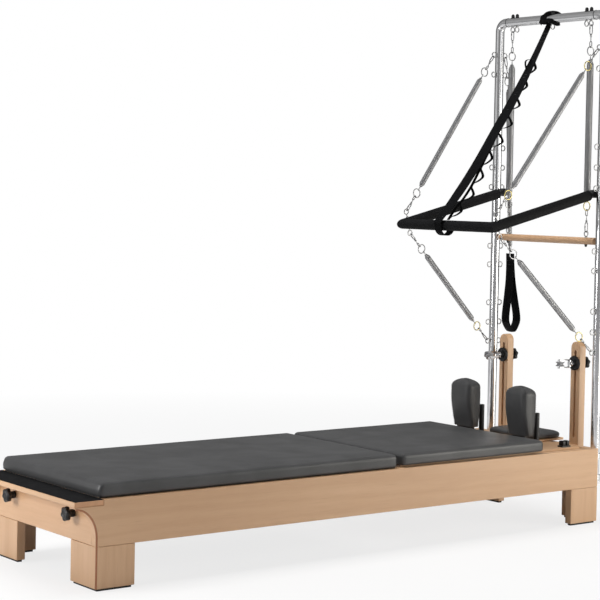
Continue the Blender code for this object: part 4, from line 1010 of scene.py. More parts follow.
def make_deck():
    """The carriage's deck with its lugs, strap posts and cleats, each in its own finish."""
    low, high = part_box("carriage_deck")
    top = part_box("carriage_pad")[0].z - 0.0003
    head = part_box("carriage_pad")[1].x
    board = Shape()
    outline = rounded_outline((high.x - low.x) / 2, high.y, 0.004, 3)
    middle = (low.x + high.x) / 2
    levels = ((-0.025, 0.0015), (-0.0235, 0.0), (-0.0015, 0.0), (0.0, 0.0015))
    rings = []
    for rise, inset in levels:
        shrink_x = 1 - inset / ((high.x - low.x) / 2)
        shrink_y = 1 - inset / high.y
        rings.append([(middle + u * shrink_x, v * shrink_y, top + rise) for u, v in outline])
    board.rings(rings)
    board.make("carriage_board", "maple_long_far", "carriage", 30, node="carriage_deck")
    black = Shape()
    post_reach, post_y = 0.131, 0.170
    cleat_reach, cleat_y = 0.172, 0.292
    for label, side in sides:
        post = (head + post_reach, side * post_y, top)
        black.lathe(((0.0, -0.012), (0.0115, -0.012), (0.0115, 0.127), (0.0108, 0.1285), (0.009, 0.129),
                     (0.0, 0.129)), post, (0, 0, 1), 28)
        black.lathe(((0.0, 0.0), (0.0165, 0.0), (0.0165, 0.003), (0.0155, 0.004), (0.0, 0.004)), post,
                    (0, 0, 1), 28)
        cleat = Vector((head + cleat_reach, side * cleat_y, top))
        plate(black, cleat + Vector((0, 0, 0.003)), (1, 0, 0), (0, 1, 0),
              rounded_outline(0.025, 0.015, 0.004), 0.006)
        for step in range(2):
            x = cleat.x - 0.011 + 0.022 * step
            plate(black, (x, cleat.y, top + 0.015), (0, 1, 0), (0, 0, 1),
                  rounded_outline(0.013, 0.011, 0.006), 0.012)
        black.lathe(disc(0.0035, 0.0, 0.04), cleat + Vector((-0.02, 0, 0.017)), (1, 0, 0), 14)
    black.make("strap_posts_and_cleats", "black_plastic", "carriage", 35)
    lugs = Shape()
    for name in ("wheel_foot_near", "wheel_foot_far", "wheel_head_near", "wheel_head_far"):
        start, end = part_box(name)
        side = -1 if start.y < 0 else 1
        inner = min(abs(start.y), abs(end.y))
        outer = max(abs(start.y), abs(end.y))
        centre = (start + end) / 2
        face = inner - 0.0006 - 0.005
        plate(lugs, (centre.x, side * face, centre.z + 0.014), (1, 0, 0), (0, 0, 1),
              rounded_outline(0.017, 0.0255, 0.008), 0.010)
        axle = ((0.0, 0.0), (0.0044, 0.0), (0.0044, outer - inner + 0.014), (0.0034, outer - inner + 0.015),
                (0.0, outer - inner + 0.015))
        lugs.lathe(axle, (centre.x, side * (inner - 0.012), centre.z), (0, side, 0), 16)
        hexagon = ((0.0, 0.0), (0.0075, 0.0), (0.0075, 0.005), (0.006, 0.0065), (0.0, 0.0065))
        lugs.lathe(hexagon, (centre.x, side * (face - 0.005), centre.z), (0, -side, 0), 6)
    lugs.make("wheel_lugs", "hook_steel", "carriage", 35)


def make_hubs_and_knobs():
    foot_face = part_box("front_board")[0].x
    for label, side in sides:
        make_hub(label)
        for node, body, way in ((f"riser_knob_{label}", f"knob_{label}", 1),
                                (f"platform_knob_{label}", f"foot_knob_{label}", -1)):
            low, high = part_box(node)
            centre = (low + high) / 2
            base, tip = (low.x, high.x) if way > 0 else (foot_face, low.x)
            star_knob(node, Vector((base, centre.y, centre.z)), Vector((way, 0, 0)),
                      (high.z - low.z) / 2, abs(tip - base), body)


def star_knob(node, base, way, radius, reach, body):
    """A six-lobed knob with a dished face and a ribbed stem, standing on base."""
    shape = Shape()
    depth, thick = 0.005, 0.020
    stem = reach - thick
    count = 72
    up = way.orthogonal().normalized()
    across = way.cross(up)
    levels = ((0.0, 0.45), (0.001, 0.70), (0.002, 0.84), (0.0035, 0.92), (0.006, 0.975), (0.009, 1.0),
              (0.012, 1.0), (0.0155, 0.975), (0.018, 0.91), (0.0195, 0.80), (0.020, 0.66), (0.0192, 0.50),
              (0.0175, 0.40), (0.017, 0.2))
    rings = []
    for height, share in levels:
        ring = []
        for a in round_angles(count):
            lobe = depth * (1 - math.cos(6 * a)) / 2 * smooth_step(0.3, 0.85, share)
            size = radius * share - lobe
            ring.append(base + way * (stem + height)
                        + size * (math.cos(a) * up + math.sin(a) * across))
        rings.append(ring)
    shape.rings(rings)
    neck = ((0.0, 0.0), (0.0115, 0.0), (0.0125, 0.001), (0.0125, stem * 0.7), (0.0135, stem - 0.001),
            (0.0135, stem + 0.006), (0.0, stem + 0.006))
    shape.lathe(neck, base, way, 32)
    for a in round_angles(18):
        out = math.cos(a) * up + math.sin(a) * across
        start = base + out * 0.0123 + way * 0.003
        shape.tube([start, start + way * (stem * 0.62)], 0.0009, 6)
    shape.make(f"{node}_star", "black_plastic", body, 50, node=node)


def make_hub(label):
    """The sliding hub: a ribbed black disc on its bolt."""
    low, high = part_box(f"riser_hub_{label}")
    centre = Vector((low.x + 0.016, (low.y + high.y) / 2, (low.z + high.z) / 2))
    shape = Shape()
    profile = ((0.0, 0.0), (0.029, 0.0), (0.030, 0.001), (0.030, 0.0085), (0.0285, 0.0105), (0.026, 0.0115),
               (0.0235, 0.0115), (0.0225, 0.0100), (0.015, 0.0100), (0.0140, 0.0150), (0.0125, 0.0160),
               (0.0, 0.0160))
    shape.lathe(profile, centre, (-1, 0, 0), 48)
    for a in round_angles(16):
        out = Vector((0, math.cos(a), math.sin(a)))
        start = centre + Vector((-0.0102, 0, 0)) + out * 0.0135
        shape.tube([start, start + out * 0.0100], 0.0012, 6)
    shape.make(f"riser_hub_{label}_disc", "black_plastic", f"hub_{label}", 40,
               node=f"riser_hub_{label}")
    bolt = Shape()
    reach = high.x - centre.x
    bolt.lathe(((0.0, -0.002), (0.0044, -0.002), (0.0044, reach - 0.001), (0.0036, reach), (0.0, reach)),
               centre, (1, 0, 0), 18)
    bolt.make(f"riser_hub_{label}_bolt", "hook_steel", f"hub_{label}", 40)


def make_pulleys():
    for label, side in sides:
        turn = math.radians(-55.0 if side > 0 else 0.0)
        hub_low, hub_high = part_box(f"riser_hub_{label}")
        root = Vector((hub_low.x - 0.0003, (hub_low.y + hub_high.y) / 2, (hub_low.z + hub_high.z) / 2))
        spin = Matrix.Rotation(turn, 3, "X")
        across = spin @ Vector((0, 0, 1))
        wide = spin @ Vector((0, 1, 0))
        make_fork(label, root, across, wide)
        sheave = Shape()
        axle = root - Vector((swivel_neck + fork_length - axle_inset, 0, 0))
        profile = [(0.0036, -0.009), (0.0165, -0.009), (0.018, -0.0086), (0.0185, -0.0075), (0.0180, -0.0068)]
        profile += [(0.0180 - 0.0055 * math.sin(math.radians(180 * step / 8)) ** 0.8,
                     -0.0062 + 0.0124 * step / 8) for step in range(9)]
        profile += [(0.0180, 0.0068), (0.0185, 0.0075), (0.018, 0.0086), (0.0165, 0.009), (0.0036, 0.009)]
        sheave.lathe(profile, axle, across, 48)
        sheave.make(f"pulley_sheave_{label}_wheel", "grey_plastic", f"sheave_{label}", 40,
                    node=f"pulley_sheave_{label}")


def make_fork(label, root, across, wide):
    """A swivel neck and a bent steel strap that holds the sheave's axle."""
    shape = Shape()
    way = Vector((-1, 0, 0))
    shape.lathe(((0.0, 0.0), (0.0105, 0.0), (0.011, 0.0008), (0.011, 0.006), (0.0085, 0.008), (0.0085, 0.013),
                 (0.011, 0.015), (0.011, 0.0175), (0.0095, 0.0185), (0.0, 0.0185)), root, way, 32)
    spread, thick, width = 0.028, 0.0035, 0.0145
    start = root + way * swivel_neck
    bend = 0.006
    half = spread / 2 + thick / 2
    round_end = 0.0073
    straight = fork_length - 0.0075
    for face in (-1, 1):
        tip = start + way * straight + across * face * half
        outline = [(bend - straight, -width / 2), (0.0, -width / 2)]
        outline += [(round_end * math.sin(math.radians(a)), -round_end * math.cos(math.radians(a)))
                    for a in range(15, 180, 15)]
        outline += [(0.0, width / 2), (bend - straight, width / 2)]
        plate(shape, tip, way, wide, outline, thick)
        corner = start + way * (bend - 0.0005) + across * face * (half - bend)
        path = arc(corner, bend, -way, across * face, 0, 90, 6)
        section = ((-1, -1), (1, -1), (1, 1), (-1, 1))
        rings = [[point + wide * u * width / 2 + out * v * thick / 2 for u, v in section]
                 for point, out in zip(path, [(point - corner).normalized() for point in path])]
        shape.rings(rings)
    plate(shape, start + way * 0.0003, across, wide,
          rounded_outline(half - bend + 0.0004, width / 2, 0.0005, 1), thick)
    axle = root + way * (swivel_neck + fork_length - axle_inset)
    reach = half + thick / 2 + 0.002
    for face in (-1, 1):
        shape.lathe(((0.0, 0.0), (0.0056, 0.0), (0.0054, 0.0012), (0.0036, 0.0020), (0.0, 0.0021)),
                    axle + across * face * (reach - 0.002), across * face, 20)
    shape.lathe(disc(0.0034, -reach + 0.001, reach - 0.001), axle, across, 16)
    shape.make(f"pulley_fork_{label}_yoke", "polished_steel", f"fork_{label}", 35,
               node=f"pulley_fork_{label}")


# Tower

def eyebolt(shape, surface, way, across, reach, wire=eye_wire):
    """A ring on a shank with a collar, standing on a surface point along way."""
    surface = Vector(surface)
    way = Vector(way)
    shape.lathe(((0.0, 0.0), (0.0062, 0.0), (0.0062, 0.0022), (0.0045, 0.0036), (0.0029, 0.0045),
                 (0.0026, reach - eye_radius), (0.0, reach - eye_radius)), surface, way, 16)
    shape.ring(surface + way * reach, way, across, eye_radius, wire, 24, 8)


def acorn_nut(shape, base, way, washer, hexagon, radius, dome_base, dome_rise):
    """A cap nut on its washer. hexagon is the profile of its six-sided part."""
    shape.lathe(disc(washer, 0.0, 0.001), base, way, 20)
    shape.lathe(hexagon, base, way, 6)
    dome = [(radius * math.cos(math.radians(a)), dome_base + dome_rise * math.sin(math.radians(a)))
            for a in range(0, 91, 15)]
    shape.lathe(((0.0, 0.005), *dome), base, way, 20)


def make_uprights():
    for label, side in sides:
        y = side * tower_y
        tube = Shape()
        bend = elbow_radius
        corner = Vector((tower_x, y - side * bend, tower_z - bend))
        route = [Vector((tower_x, y, tower_foot)), Vector((tower_x, y, (tower_foot + tower_z) / 2))]
        route += arc(corner, bend, (0, side, 0), (0, 0, 1), 0, 90, 14)
        route.append(Vector((tower_x, side * (seam_y + seam_gap), tower_z)))
        tube.tube(route, tube_radius, 48)
        lip = Vector((tower_x, side * (seam_y + seam_gap), tower_z))
        tube.ring(lip, (1, 0, 0), (0, 0, 1), tube_radius - 0.0006, 0.0008, 48, 6)
        tube.make(f"tower_upright_{label}_tube", "polished_steel", "frame", 40,
                  node=f"tower_upright_{label}")
        seam = Shape()
        seam.ring((tower_x, side * seam_y, tower_z), (1, 0, 0), (0, 0, 1), tube_radius - 0.0004,
                  0.0017, 48, 6)
        seam.make(f"crossbar_seam_{label}", "black_plastic", "frame")
        eyes = Shape()
        for height in eye_heights:
            for face in (-1, 1):
                surface = (tower_x + face * (tube_radius - eye_sink), y, height)
                eyebolt(eyes, surface, (face, 0, 0), (0, 0, 1), eye_reach - tube_radius + eye_sink)
        pin = y - side * tube_radius * 0.9
        length = abs(pin) - (arm_y - 0.010)
        eyes.lathe(((0.0, 0.0), (pin_radius, 0.0), (pin_radius, length - 0.001), (pin_radius - 0.001, length),
                    (0.0, length)), (tower_x, pin, pivot.z), (0, -side, 0), 24)
        eyes.lathe(((0.0, 0.0), (0.0105, 0.0), (0.0105, 0.004), (0.009, 0.0055), (0.0, 0.0055)),
                   (tower_x, y + side * (tube_radius - 0.001), pivot.z), (0, side, 0), 6)
        eyes.make(f"tower_upright_{label}_eyes", "hook_steel", "frame", 50)


def make_crossbar():
    bar = Shape()
    end = seam_y - seam_gap
    bar.tube([(tower_x, y, tower_z) for y in (-end, 0, end)], tube_radius, 48)
    bar.make("tower_crossbar_tube", "polished_steel", "frame", 40, node="tower_crossbar")
    eyes = Shape()
    nuts = Shape()
    for y in crossbar_eyes:
        eyebolt(eyes, (tower_x, y, tower_z - tube_radius + eye_sink), (0, 0, -1), (1, 0, 0),
                eye_reach - tube_radius + eye_sink)
        base = (tower_x, y, tower_z + tube_radius - 0.0012)
        acorn_nut(nuts, base, (0, 0, 1), 0.0098,
                  ((0.0, 0.0), (0.0086, 0.001), (0.0086, 0.0080), (0.0080, 0.009)), 0.0074, 0.0088, 0.0085)
    eyes.make("tower_crossbar_eyes", "hook_steel", "frame", 50)
    nuts.make("tower_crossbar_nuts", "black_plastic", "frame", 30)


def bar_route(setback):
    """Centre line of the push-through bar, from arm end to arm end."""
    corner_x = tower_x - arm_reach
    corner_z = pivot.z - arm_drop
    halves = []
    for side in (-1, 1):
        end = Vector((tower_x, side * arm_y, pivot.z)) + slope * setback
        centre = Vector((corner_x, side * (arm_y - bar_bend), corner_z)) - slope * bar_bend
        halves.append([end, *arc(centre, bar_bend, (0, side, 0), slope, 0, 90, 12)])
    return halves[0] + halves[1][::-1]


def sleeve_rings(count=40):
    """Rings of the foam round the bar: straight stretches with mitred corners and soft ends."""
    margin = foam_radius + 0.004
    softness = 0.96
    reach = Vector((-arm_reach, 0, -arm_drop))
    near, far = [Vector((tower_x, side * arm_y, pivot.z)) for label, side in sides]
    outward = Vector((0, 1, 0))
    legs = ((near + slope * foam_end, near + reach, -outward), (near + reach, far + reach, slope),
            (far + reach, far + slope * foam_end, outward))
    stations = []
    for index, (start, end, aside) in enumerate(legs):
        way = (end - start).normalized()
        if index == 0:
            stations += [(start, aside, 0.84), (start + way * 0.0015, aside, 0.95)]
        first = start + way * (margin if index else 0.004)
        last = end - way * (margin if index < 2 else 0.004)
        steps = int((last - first).length / 0.02)
        stations += [(first.lerp(last, step / steps), aside, 1.0) for step in range(steps + 1)]
        if index < 2:
            stations.append((end, (aside + legs[index + 1][2]) * softness, 1.0))
        else:
            stations += [(end - way * 0.0015, aside, 0.95), (end, aside, 0.84)]
    rings = []
    for place, aside, share in stations:
        radius = foam_radius * share + 0.0003 * noise.noise(place * 30.0)
        rings.append([place + radius * (math.cos(a) * aside + math.sin(a) * square)
                      for a in round_angles(count)])
    return rings


def bar_corner(side):
    """Where a corner's eyebolt crosses the arm."""
    return Vector((tower_x - arm_reach, side * arm_y, pivot.z - arm_drop)) - slope * (bar_bend + 0.001)


def make_push_through_bar():
    steel = Shape()
    steel.tube(bar_route(0.006), bar_radius, 24)
    for label, side in sides:
        centre = Vector((tower_x, side * arm_y, pivot.z))
        boss = 0.0165
        steel.lathe(((pin_radius + 0.0003, -0.0145), (boss, -0.0145), (boss + 0.0006, -0.0135),
                     (boss + 0.0006, 0.0135), (boss, 0.0145), (pin_radius + 0.0003, 0.0145)),
                    centre, (0, 1, 0), 32)
    steel.make("push_through_bar_steel", "black_steel", "push_bar", 40,
               node="push_through_bar")
    bolts = Shape()
    for label, side in sides:
        root = bar_corner(side)
        for face in (-1, 1):
            eyebolt(bolts, root + square * face * (foam_radius - eye_sink), square * face, slope,
                    bar_eye_reach - foam_radius + eye_sink)
    bolts.make("push_through_bar_eyes", "hook_steel", "push_bar", 50)
    foam = Shape()
    foam.rings(sleeve_rings())
    foam.make("bar_foam_sleeve", "foam", "push_bar", 60, node="bar_foam")


# Springs

def stadium(start, way, across, length, half):
    """A closed oval from start along way."""
    near = start + way * half
    far = start + way * (length - half)
    return arc(near, half, across, -way, 0, 180, 8) + arc(far, half, -across, way, 0, 180, 8)


def snap_hook(shape, place, way, across, reach):
    """A swivel snap hook: an oval through the eye, a barrel and a shaft, and an oval for the ring."""
    start = place + way * hook_slack
    large, small = reach * 0.42, reach * 0.27
    shape.tube(stadium(start, way, across, large, hook_radius), hook_wire, 8, closed=True)
    gate = start + across * hook_radius + way * 0.010
    shape.tube([gate - way * 0.001, gate, gate + way * 0.015, gate + way * 0.016],
               [0.0014, 0.0026, 0.0026, 0.0014], 8)
    barrel = start + way * (large - 0.0015)
    shape.lathe(((0.0, 0.0), (0.0036, 0.0), (0.0044, 0.001), (0.0044, 0.006), (0.0030, 0.0075),
                 (0.0030, 0.009), (0.0040, 0.0095), (0.0040, 0.0125), (0.0, 0.0135)), barrel, way, 14)
    shaft = barrel + way * 0.012
    end = start + way * (reach - small)
    shape.tube([shaft, end + way * 0.002], 0.0019, 10)
    side = way.cross(across)
    shape.tube(stadium(end, way, across, small, hook_radius * 0.8), hook_wire, 8, closed=True)
    return start + way * reach, side


def end_fittings(metal_shape, ring_shape, place, way, across, reach):
    """A snap hook and a ring on an eye. Gives the far side of the ring."""
    apex, side = snap_hook(metal_shape, place, way, across, reach)
    centre = apex - way * ring_seat + way * ring_radius
    ring_shape.ring(centre, way, side, ring_radius, ring_wire, 28, 8)
    return centre + way * ring_radius


def coil_turns(shape, start, end, radius, wire, steps, ends=0.55):
    """A close-wound spring. Its last turns are drawn in at both ends."""
    start = Vector(start)
    length = (Vector(end) - start).length
    way = (Vector(end) - start).normalized()
    side = way.orthogonal().normalized()
    up = way.cross(side)
    pitch = wire * 2.04
    count = int(length / pitch * steps)
    taper = radius * 1.3
    rings = []
    for index in range(count + 1):
        along = length * index / count
        share = min(smooth_step(0.0, taper, along), smooth_step(0.0, taper, length - along))
        size = radius * (ends + (1 - ends) * share) - wire
        a = math.tau * index / steps
        out = math.cos(a) * side + math.sin(a) * up
        centre = start + way * along
        rings.append([centre + out * (size + wire * math.cos(b)) + way * wire * math.sin(b)
                      for b in round_angles(5)])
    shape.rings(rings)


def spring_neck(shape, ring_end, coil_end, way):
    """The wire loop and stem that tie a coil's end to its ring."""
    side = way.orthogonal().normalized()
    shape.ring(ring_end, way, side, 0.0042, 0.0013, 16, 6)
    shape.tube([ring_end + way * 0.0040, ring_end + way * 0.009, coil_end + way * 0.008],
               [0.0013, 0.0021, 0.0024], 10)
    shape.lathe(((0.0, -0.002), (0.0038, -0.002), (0.0060, 0.0), (0.0060, 0.004), (0.0, 0.004)),
                coil_end, way, 18)


def strung_spring(node, start, end, radius, reach, bodies, rings):
    """A spring between two eyes, with its hooks, rings and necks."""
    start_body, end_body = bodies
    normal = Vector((0, 1, 0))
    sizes = bpy.context.scene.reformer_sizes
    start = Vector(start)
    end = Vector(end)
    way = (end - start).normalized()
    across = (normal - way * way.dot(normal)).normalized()
    coil_ends = []
    for index, (place, direction, body) in enumerate(((start, way, start_body), (end, -way, end_body))):
        hooks = Shape()
        loops = Shape()
        ring_end = end_fittings(hooks, loops, place, direction, across, reach)
        coil_end = ring_end + direction * neck_length
        spring_neck(hooks, ring_end, coil_end, direction)
        coil_ends.append(coil_end)
        hooks.make(f"{node}_hook_{index + 1}", "hook_steel", body, 50)
        loops.make(f"{node}_ring_{index + 1}", rings[index], body)
    coil = Shape()
    coil_turns(coil, coil_ends[0], coil_ends[1], radius, sizes.wire, sizes.turns)
    piece = coil.make(f"{node}_coil", "spring_steel", node=node)
    if start_body == end_body:
        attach(piece, start_body)
    else:
        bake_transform(piece)


def make_bar_springs():
    for label, side in sides:
        root = bar_corner(side)
        for level, height, face in (("upper", eye_heights[0], 1), ("lower", eye_heights[-1], -1)):
            rings = ("yellow_zinc", "yellow_zinc") if (level, side) == ("upper", -1) else \
                    ("hook_steel", "hook_steel") if level == "upper" else ("yellow_zinc", "hook_steel")
            strung_spring(f"bar_spring_{level}_{label}", (tower_x - eye_reach, side * tower_y, height),
                          root + square * face * bar_eye_reach, tower_coil, hook_length,
                          ("frame", "push_bar"), rings)


def make_roll_down_bar():
    z = tower_z - roll_down_drop
    dowel = Shape()
    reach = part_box("roll_down_bar")[1].y
    profile = [(0.0, -reach), (0.0125, -reach), (0.0145, -reach + 0.0012), (dowel_radius, -reach + 0.003)]
    profile += [(dowel_radius, -reach + 0.003 + (2 * reach - 0.006) * step / 24) for step in range(1, 25)]
    profile += [(0.0145, reach - 0.0012), (0.0125, reach), (0.0, reach)]
    dowel.lathe(profile, (tower_x, 0, z), (0, 1, 0), 40)
    dowel.make("roll_down_dowel", "maple_dowel", "roll_down", 50, node="roll_down_bar")
    bolts = Shape()
    nuts = Shape()
    for label, side in sides:
        y = side * crossbar_eyes[-1]
        eyebolt(bolts, (tower_x, y, z + dowel_radius - eye_sink), (0, 0, 1), (1, 0, 0),
                eye_radius + 0.0048)
        base = (tower_x, y, z - dowel_radius + eye_sink)
        acorn_nut(nuts, base, (0, 0, -1), 0.0078,
                  ((0.0, 0.0), (0.0066, 0.001), (0.0066, 0.006), (0.0, 0.006)), 0.0056, 0.0055, 0.0055)
        top = Vector((tower_x, y, tower_z - eye_reach))
        foot = Vector((tower_x, y, z + dowel_radius + eye_radius + 0.004))
        strung_spring(f"roll_down_spring_{label}", top, foot, wide_coil, long_hook_length,
                      ("roll_down", "roll_down"), ("hook_steel", "yellow_zinc" if side < 0 else "hook_steel"))
    bolts.make("roll_down_bolts", "hook_steel", "roll_down", 40)
    nuts.make("roll_down_nuts", "black_plastic", "roll_down", 40)


def make_arm_springs():
    sizes = bpy.context.scene.reformer_sizes
    down = Vector((math.sin(hang_lean), 0, -math.cos(hang_lean)))
    for label, side in sides:
        top = Vector((tower_x + eye_reach, side * tower_y, eye_heights[0]))
        inside = Vector((0, -side * hang_inset, 0))
        foot = top + inside + down * hang_length
        lean = (inside + down * long_hook_length).normalized()
        across = (Vector((0, 1, 0)) - lean * lean.y).normalized()
        hooks = Shape()
        loops = Shape()
        apex = snap_hook(hooks, top, lean, across, long_hook_length)[0]
        centre = apex - lean * ring_seat + down * ring_radius
        loops.ring(centre, down, down.cross(Vector((0, 1, 0))), ring_radius, ring_wire, 28, 8)
        ring_end = centre + down * ring_radius
        coil_end = ring_end + down * neck_length
        spring_neck(hooks, ring_end, coil_end, down)
        swivel = foot - down * 0.028
        hooks.lathe(((0.0, -0.006), (0.0030, -0.006), (0.0052, 0.0), (0.0052, 0.016), (0.0035, 0.019),
                     (0.0035, 0.026), (0.0, 0.026)), swivel, down, 20)
        hooks.make(f"arm_spring_{label}_hook", "hook_steel", f"arm_{label}", 50)
        loops.make(f"arm_spring_{label}_ring", "hook_steel", f"arm_{label}")
        coil = Shape()
        coil_turns(coil, coil_end, foot - down * 0.022, slim_coil, sizes.wire, sizes.turns)
        coil.make(f"arm_spring_{label}_coil", "spring_steel", f"arm_{label}",
                  node=f"arm_spring_{label}")
        make_hand_loop(label, foot, down)


def make_carriage_springs():
    sizes = bpy.context.scene.reformer_sizes
    low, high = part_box("carriage_springs")
    count, spacing, radius = 5, 0.085, 0.0105
    axis_z = low.z + radius
    start = low.x + 0.014
    metal_plate = Shape()
    coils = Shape()
    anchor = high.x - 0.030
    for index in range(count):
        y = (index - (count - 1) / 2) * spacing
        coil_turns(coils, (start, y, axis_z), (anchor + 0.001, y, axis_z), radius, sizes.wire, 8, 0.6)
        metal_plate.ring((low.x + 0.0075, y, axis_z), (1, 0, 0), (0, 0, 1), 0.0062, 0.0013, 20, 6)
        metal_plate.tube([(low.x + 0.0135, y, axis_z), (start + 0.008, y, axis_z)], 0.0014, 8)
    width = high.y
    deck = high.z
    plate(metal_plate, (anchor + 0.002, 0, (low.z + deck) / 2), (0, 1, 0), (0, 0, 1),
          rounded_outline(width, (deck - low.z) / 2, 0.003), 0.004)
    plate(metal_plate, (anchor + 0.015, 0, deck - 0.002), (1, 0, 0), (0, 1, 0),
          rounded_outline(0.015, width, 0.003), 0.004)
    metal_plate.make("carriage_spring_plate", "hook_steel", "carriage", 40)
    coils.make("carriage_spring_coils", "spring_steel", "carriage", node="carriage_springs")


# Webbing

def ribbon(name, routes):
    """Straps of one piece. Each route is (path, width, thickness, width direction).

    The width is one number, or one for each point.
    """
    points = []
    faces = []
    maps = []
    for path, width, thick, wide in routes:
        path = [Vector(point) for point in path]
        wide = Vector(wide)
        breadths = width if isinstance(width, list) else [width] * len(path)
        edge = thick * 0.21
        section = [(-1, 0, 0.0), (-1, edge, -1), (-1 / 3, 0, -1), (1 / 3, 0, -1), (1, -edge, -1), (1, 0, 0.0),
                   (1, -edge, 1), (1 / 3, 0, 1), (-1 / 3, 0, 1), (-1, edge, 1)]
        start = len(points)
        walked = 0.0
        count = len(section)
        for index, (point, way) in enumerate(zip(path, tangents(path, False))):
            if index:
                walked += (point - path[index - 1]).length
            up = way.cross(wide).normalized()
            side = up.cross(way).normalized()
            for share, shift, rise in section:
                u = share * breadths[index] / 2 + shift
                points.append(point + side * u + up * rise * thick / 2)
                maps.append((walked, u))
        for row in range(len(path) - 1):
            here = start + row * count
            for step in range(count):
                after = (step + 1) % count
                faces.append((here + step, here + after, here + count + after, here + count + step))
        faces.append(tuple(start + index for index in reversed(range(count))))
        faces.append(tuple(start + (len(path) - 1) * count + index for index in range(count)))
    shape = Shape()
    shape.add(points, faces)
    piece = shape.make(name, "webbing", sharp=40)
    layer = piece.data.uv_layers.new(name="weave")
    for loop in piece.data.loops:
        layer.data[loop.index].uv = maps[loop.vertex_index]
    return piece


def make_hand_loop(label, foot, down):
    """A doubled webbing handle with a padded grip, sewn under the spring's swivel."""
    sizes = bpy.context.scene.reformer_sizes
    out = Vector((math.cos(hang_lean), 0, math.sin(hang_lean)))
    wide = Vector((0, 1, 0))
    top = foot + down * 0.004
    length = 0.347
    half = 0.0335
    breadth = 0.049
    thick = sizes.webbing
    gap = thick * 0.55
    left = [top - out * gap, top - out * gap + down * 0.02, top - out * (gap + 0.001) + down * 0.06,
            top - out * 0.007 + down * 0.12, top - out * 0.018 + down * 0.19,
            top - out * 0.0305 + down * (length - 0.088), top - out * half + down * (length - 0.058),
            top - out * (half - 0.003) + down * (length - 0.040),
            top - out * (half - 0.014) + down * (length - 0.019),
            top - out * 0.007 + down * (length - 0.004), top + down * (length - 0.001)]
    right = [point + out * 2 * (top - point).dot(out) for point in left[::-1]]
    line = curve_through(left + right[1:], 6)
    body = f"arm_{label}"
    strap = ribbon(f"hand_loop_{label}_webbing", [(line, breadth, thick, wide)])
    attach(strap, body)
    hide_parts(f"hand_loop_{label}")
    grip_start = int(len(line) * 0.34)
    grip = line[grip_start:len(line) - grip_start]
    cover = Shape()
    flat = []
    for index, (point, way) in enumerate(zip(grip, tangents(grip, False))):
        up = way.cross(wide).normalized()
        swell = 1.0 if 1 < index < len(grip) - 2 else 0.7
        flat.append([point + wide * breadth / 2 * math.cos(a) * (0.96 + 0.04 * swell)
                     + up * 0.0042 * swell * math.sin(a)
                     for a in round_angles(20)])
    cover.rings(flat)
    made = cover.make(f"hand_loop_{label}_grip", "foam", body, 60)
    rows = Shape()
    for offset in (0.012, 0.030, 0.048):
        for way in (-1, 1):
            place = top + down * offset + out * way * (gap + thick * 0.5)
            for step in range(9):
                y = (step - 4) * 0.0048
                stitch_thread(rows, place + wide * y, wide * 0.0017, out * way * 0.0003, 0.0006)
    rows.make(f"hand_loop_{label}_stitches", "thread", body)


# Safety strap, by the share of the way from the crossbar (0) to the foam (1)
band_share_count = 13
bight_steps = 8
chain_share = 0.38
chain_end = 0.968
chain_width = 0.016
loop_count = 9
loop_start = 0.186
loop_pitch = 0.0872
loop_share = 0.066
loop_fullest = 0.28
strap_y = 0.0245
wrap_y = 0.0285
wrap_width = 0.036
over_width = 0.022
under_width = 0.018
tab_width = 0.010
loop_width = 0.0155


def band_offset(share):
    """How far the band lies off the straight line: bowed at first, then laid over the foam."""
    bow = 0.011 * math.sin(math.pi * min(share / 0.56, 1.0))
    return 0.054 * max(2 * share - 1, 0.0) ** 2.1 - 0.021 - bow


def band_width(share):
    """Width of the band: narrow at the knot, full in the middle, gathered at the foam."""
    return 0.034 + 0.027 * smooth_step(0.0, 0.42, share) - 0.018 * smooth_step(0.82, 1.0, share)


def chain_offset(share):
    """How far the chain of small loops lies off the straight line."""
    sag = 0.009 * math.sin(math.pi * (share - chain_share) / 0.68)
    return 0.024 * smooth_step(0.80, 0.96, share) - 0.030 - sag


def bight_point(turn):
    """A place, with its width, on the oval that the band takes round the foam, at an angle in degrees."""
    a = math.radians(turn)
    narrowing = 0.022 * smooth_step(-90, -160, turn)
    return 1 + 0.034 * math.cos(a), 0.036 * math.sin(a) - 0.009, 0.042 - narrowing


def chain_loop(index):
    """One small loop as (start share, end share, share of the fullest place, its offset)."""
    start = loop_start + loop_pitch * index
    fullest = start + loop_share * loop_fullest
    offset = chain_offset if start > chain_share else band_offset
    swell = math.sin(math.pi * min(max(index - 1, 0), 4) / 4)
    return start, start + loop_share, fullest, offset(fullest) - 0.031 - 0.017 * swell


band_path = [(share, band_offset(share), band_width(share))
             for share in [step / band_share_count for step in range(band_share_count + 1)]]
bight_path = [bight_point(70 - 230 * step / bight_steps) for step in range(bight_steps + 1)]
chain_path = [(share, chain_offset(share), chain_width)
              for share in [chain_share + (chain_end - chain_share) * step / 10 for step in range(11)]]
chain_loops = [chain_loop(index) for index in range(loop_count)]
small_tab = [(0.18 + 0.052 * t, 0.024 * math.sin(math.pi * t) - 0.030) for t in (0, 0.25, 0.5, 0.75, 1)]
# The knot's strands round the crossbar, from its axis: (across, to the head end, up)
over_strand = ((0.044, -0.0225, -0.020), (0.034, -0.0232, -0.008), (0.022, -0.0232, 0.006),
               (0.006, -0.015, 0.0200), (-0.010, 0.001, 0.0235), (-0.024, 0.014, 0.0200),
               (-0.034, 0.0225, 0.008), (-0.038, 0.0235, -0.008))
under_strand = ((-0.040, 0.012, -0.0205), (-0.037, -0.004, -0.0235), (-0.028, -0.020, -0.015),
                (-0.012, -0.0255, -0.008), (0.010, -0.0250, -0.010), (0.030, -0.0240, -0.014))


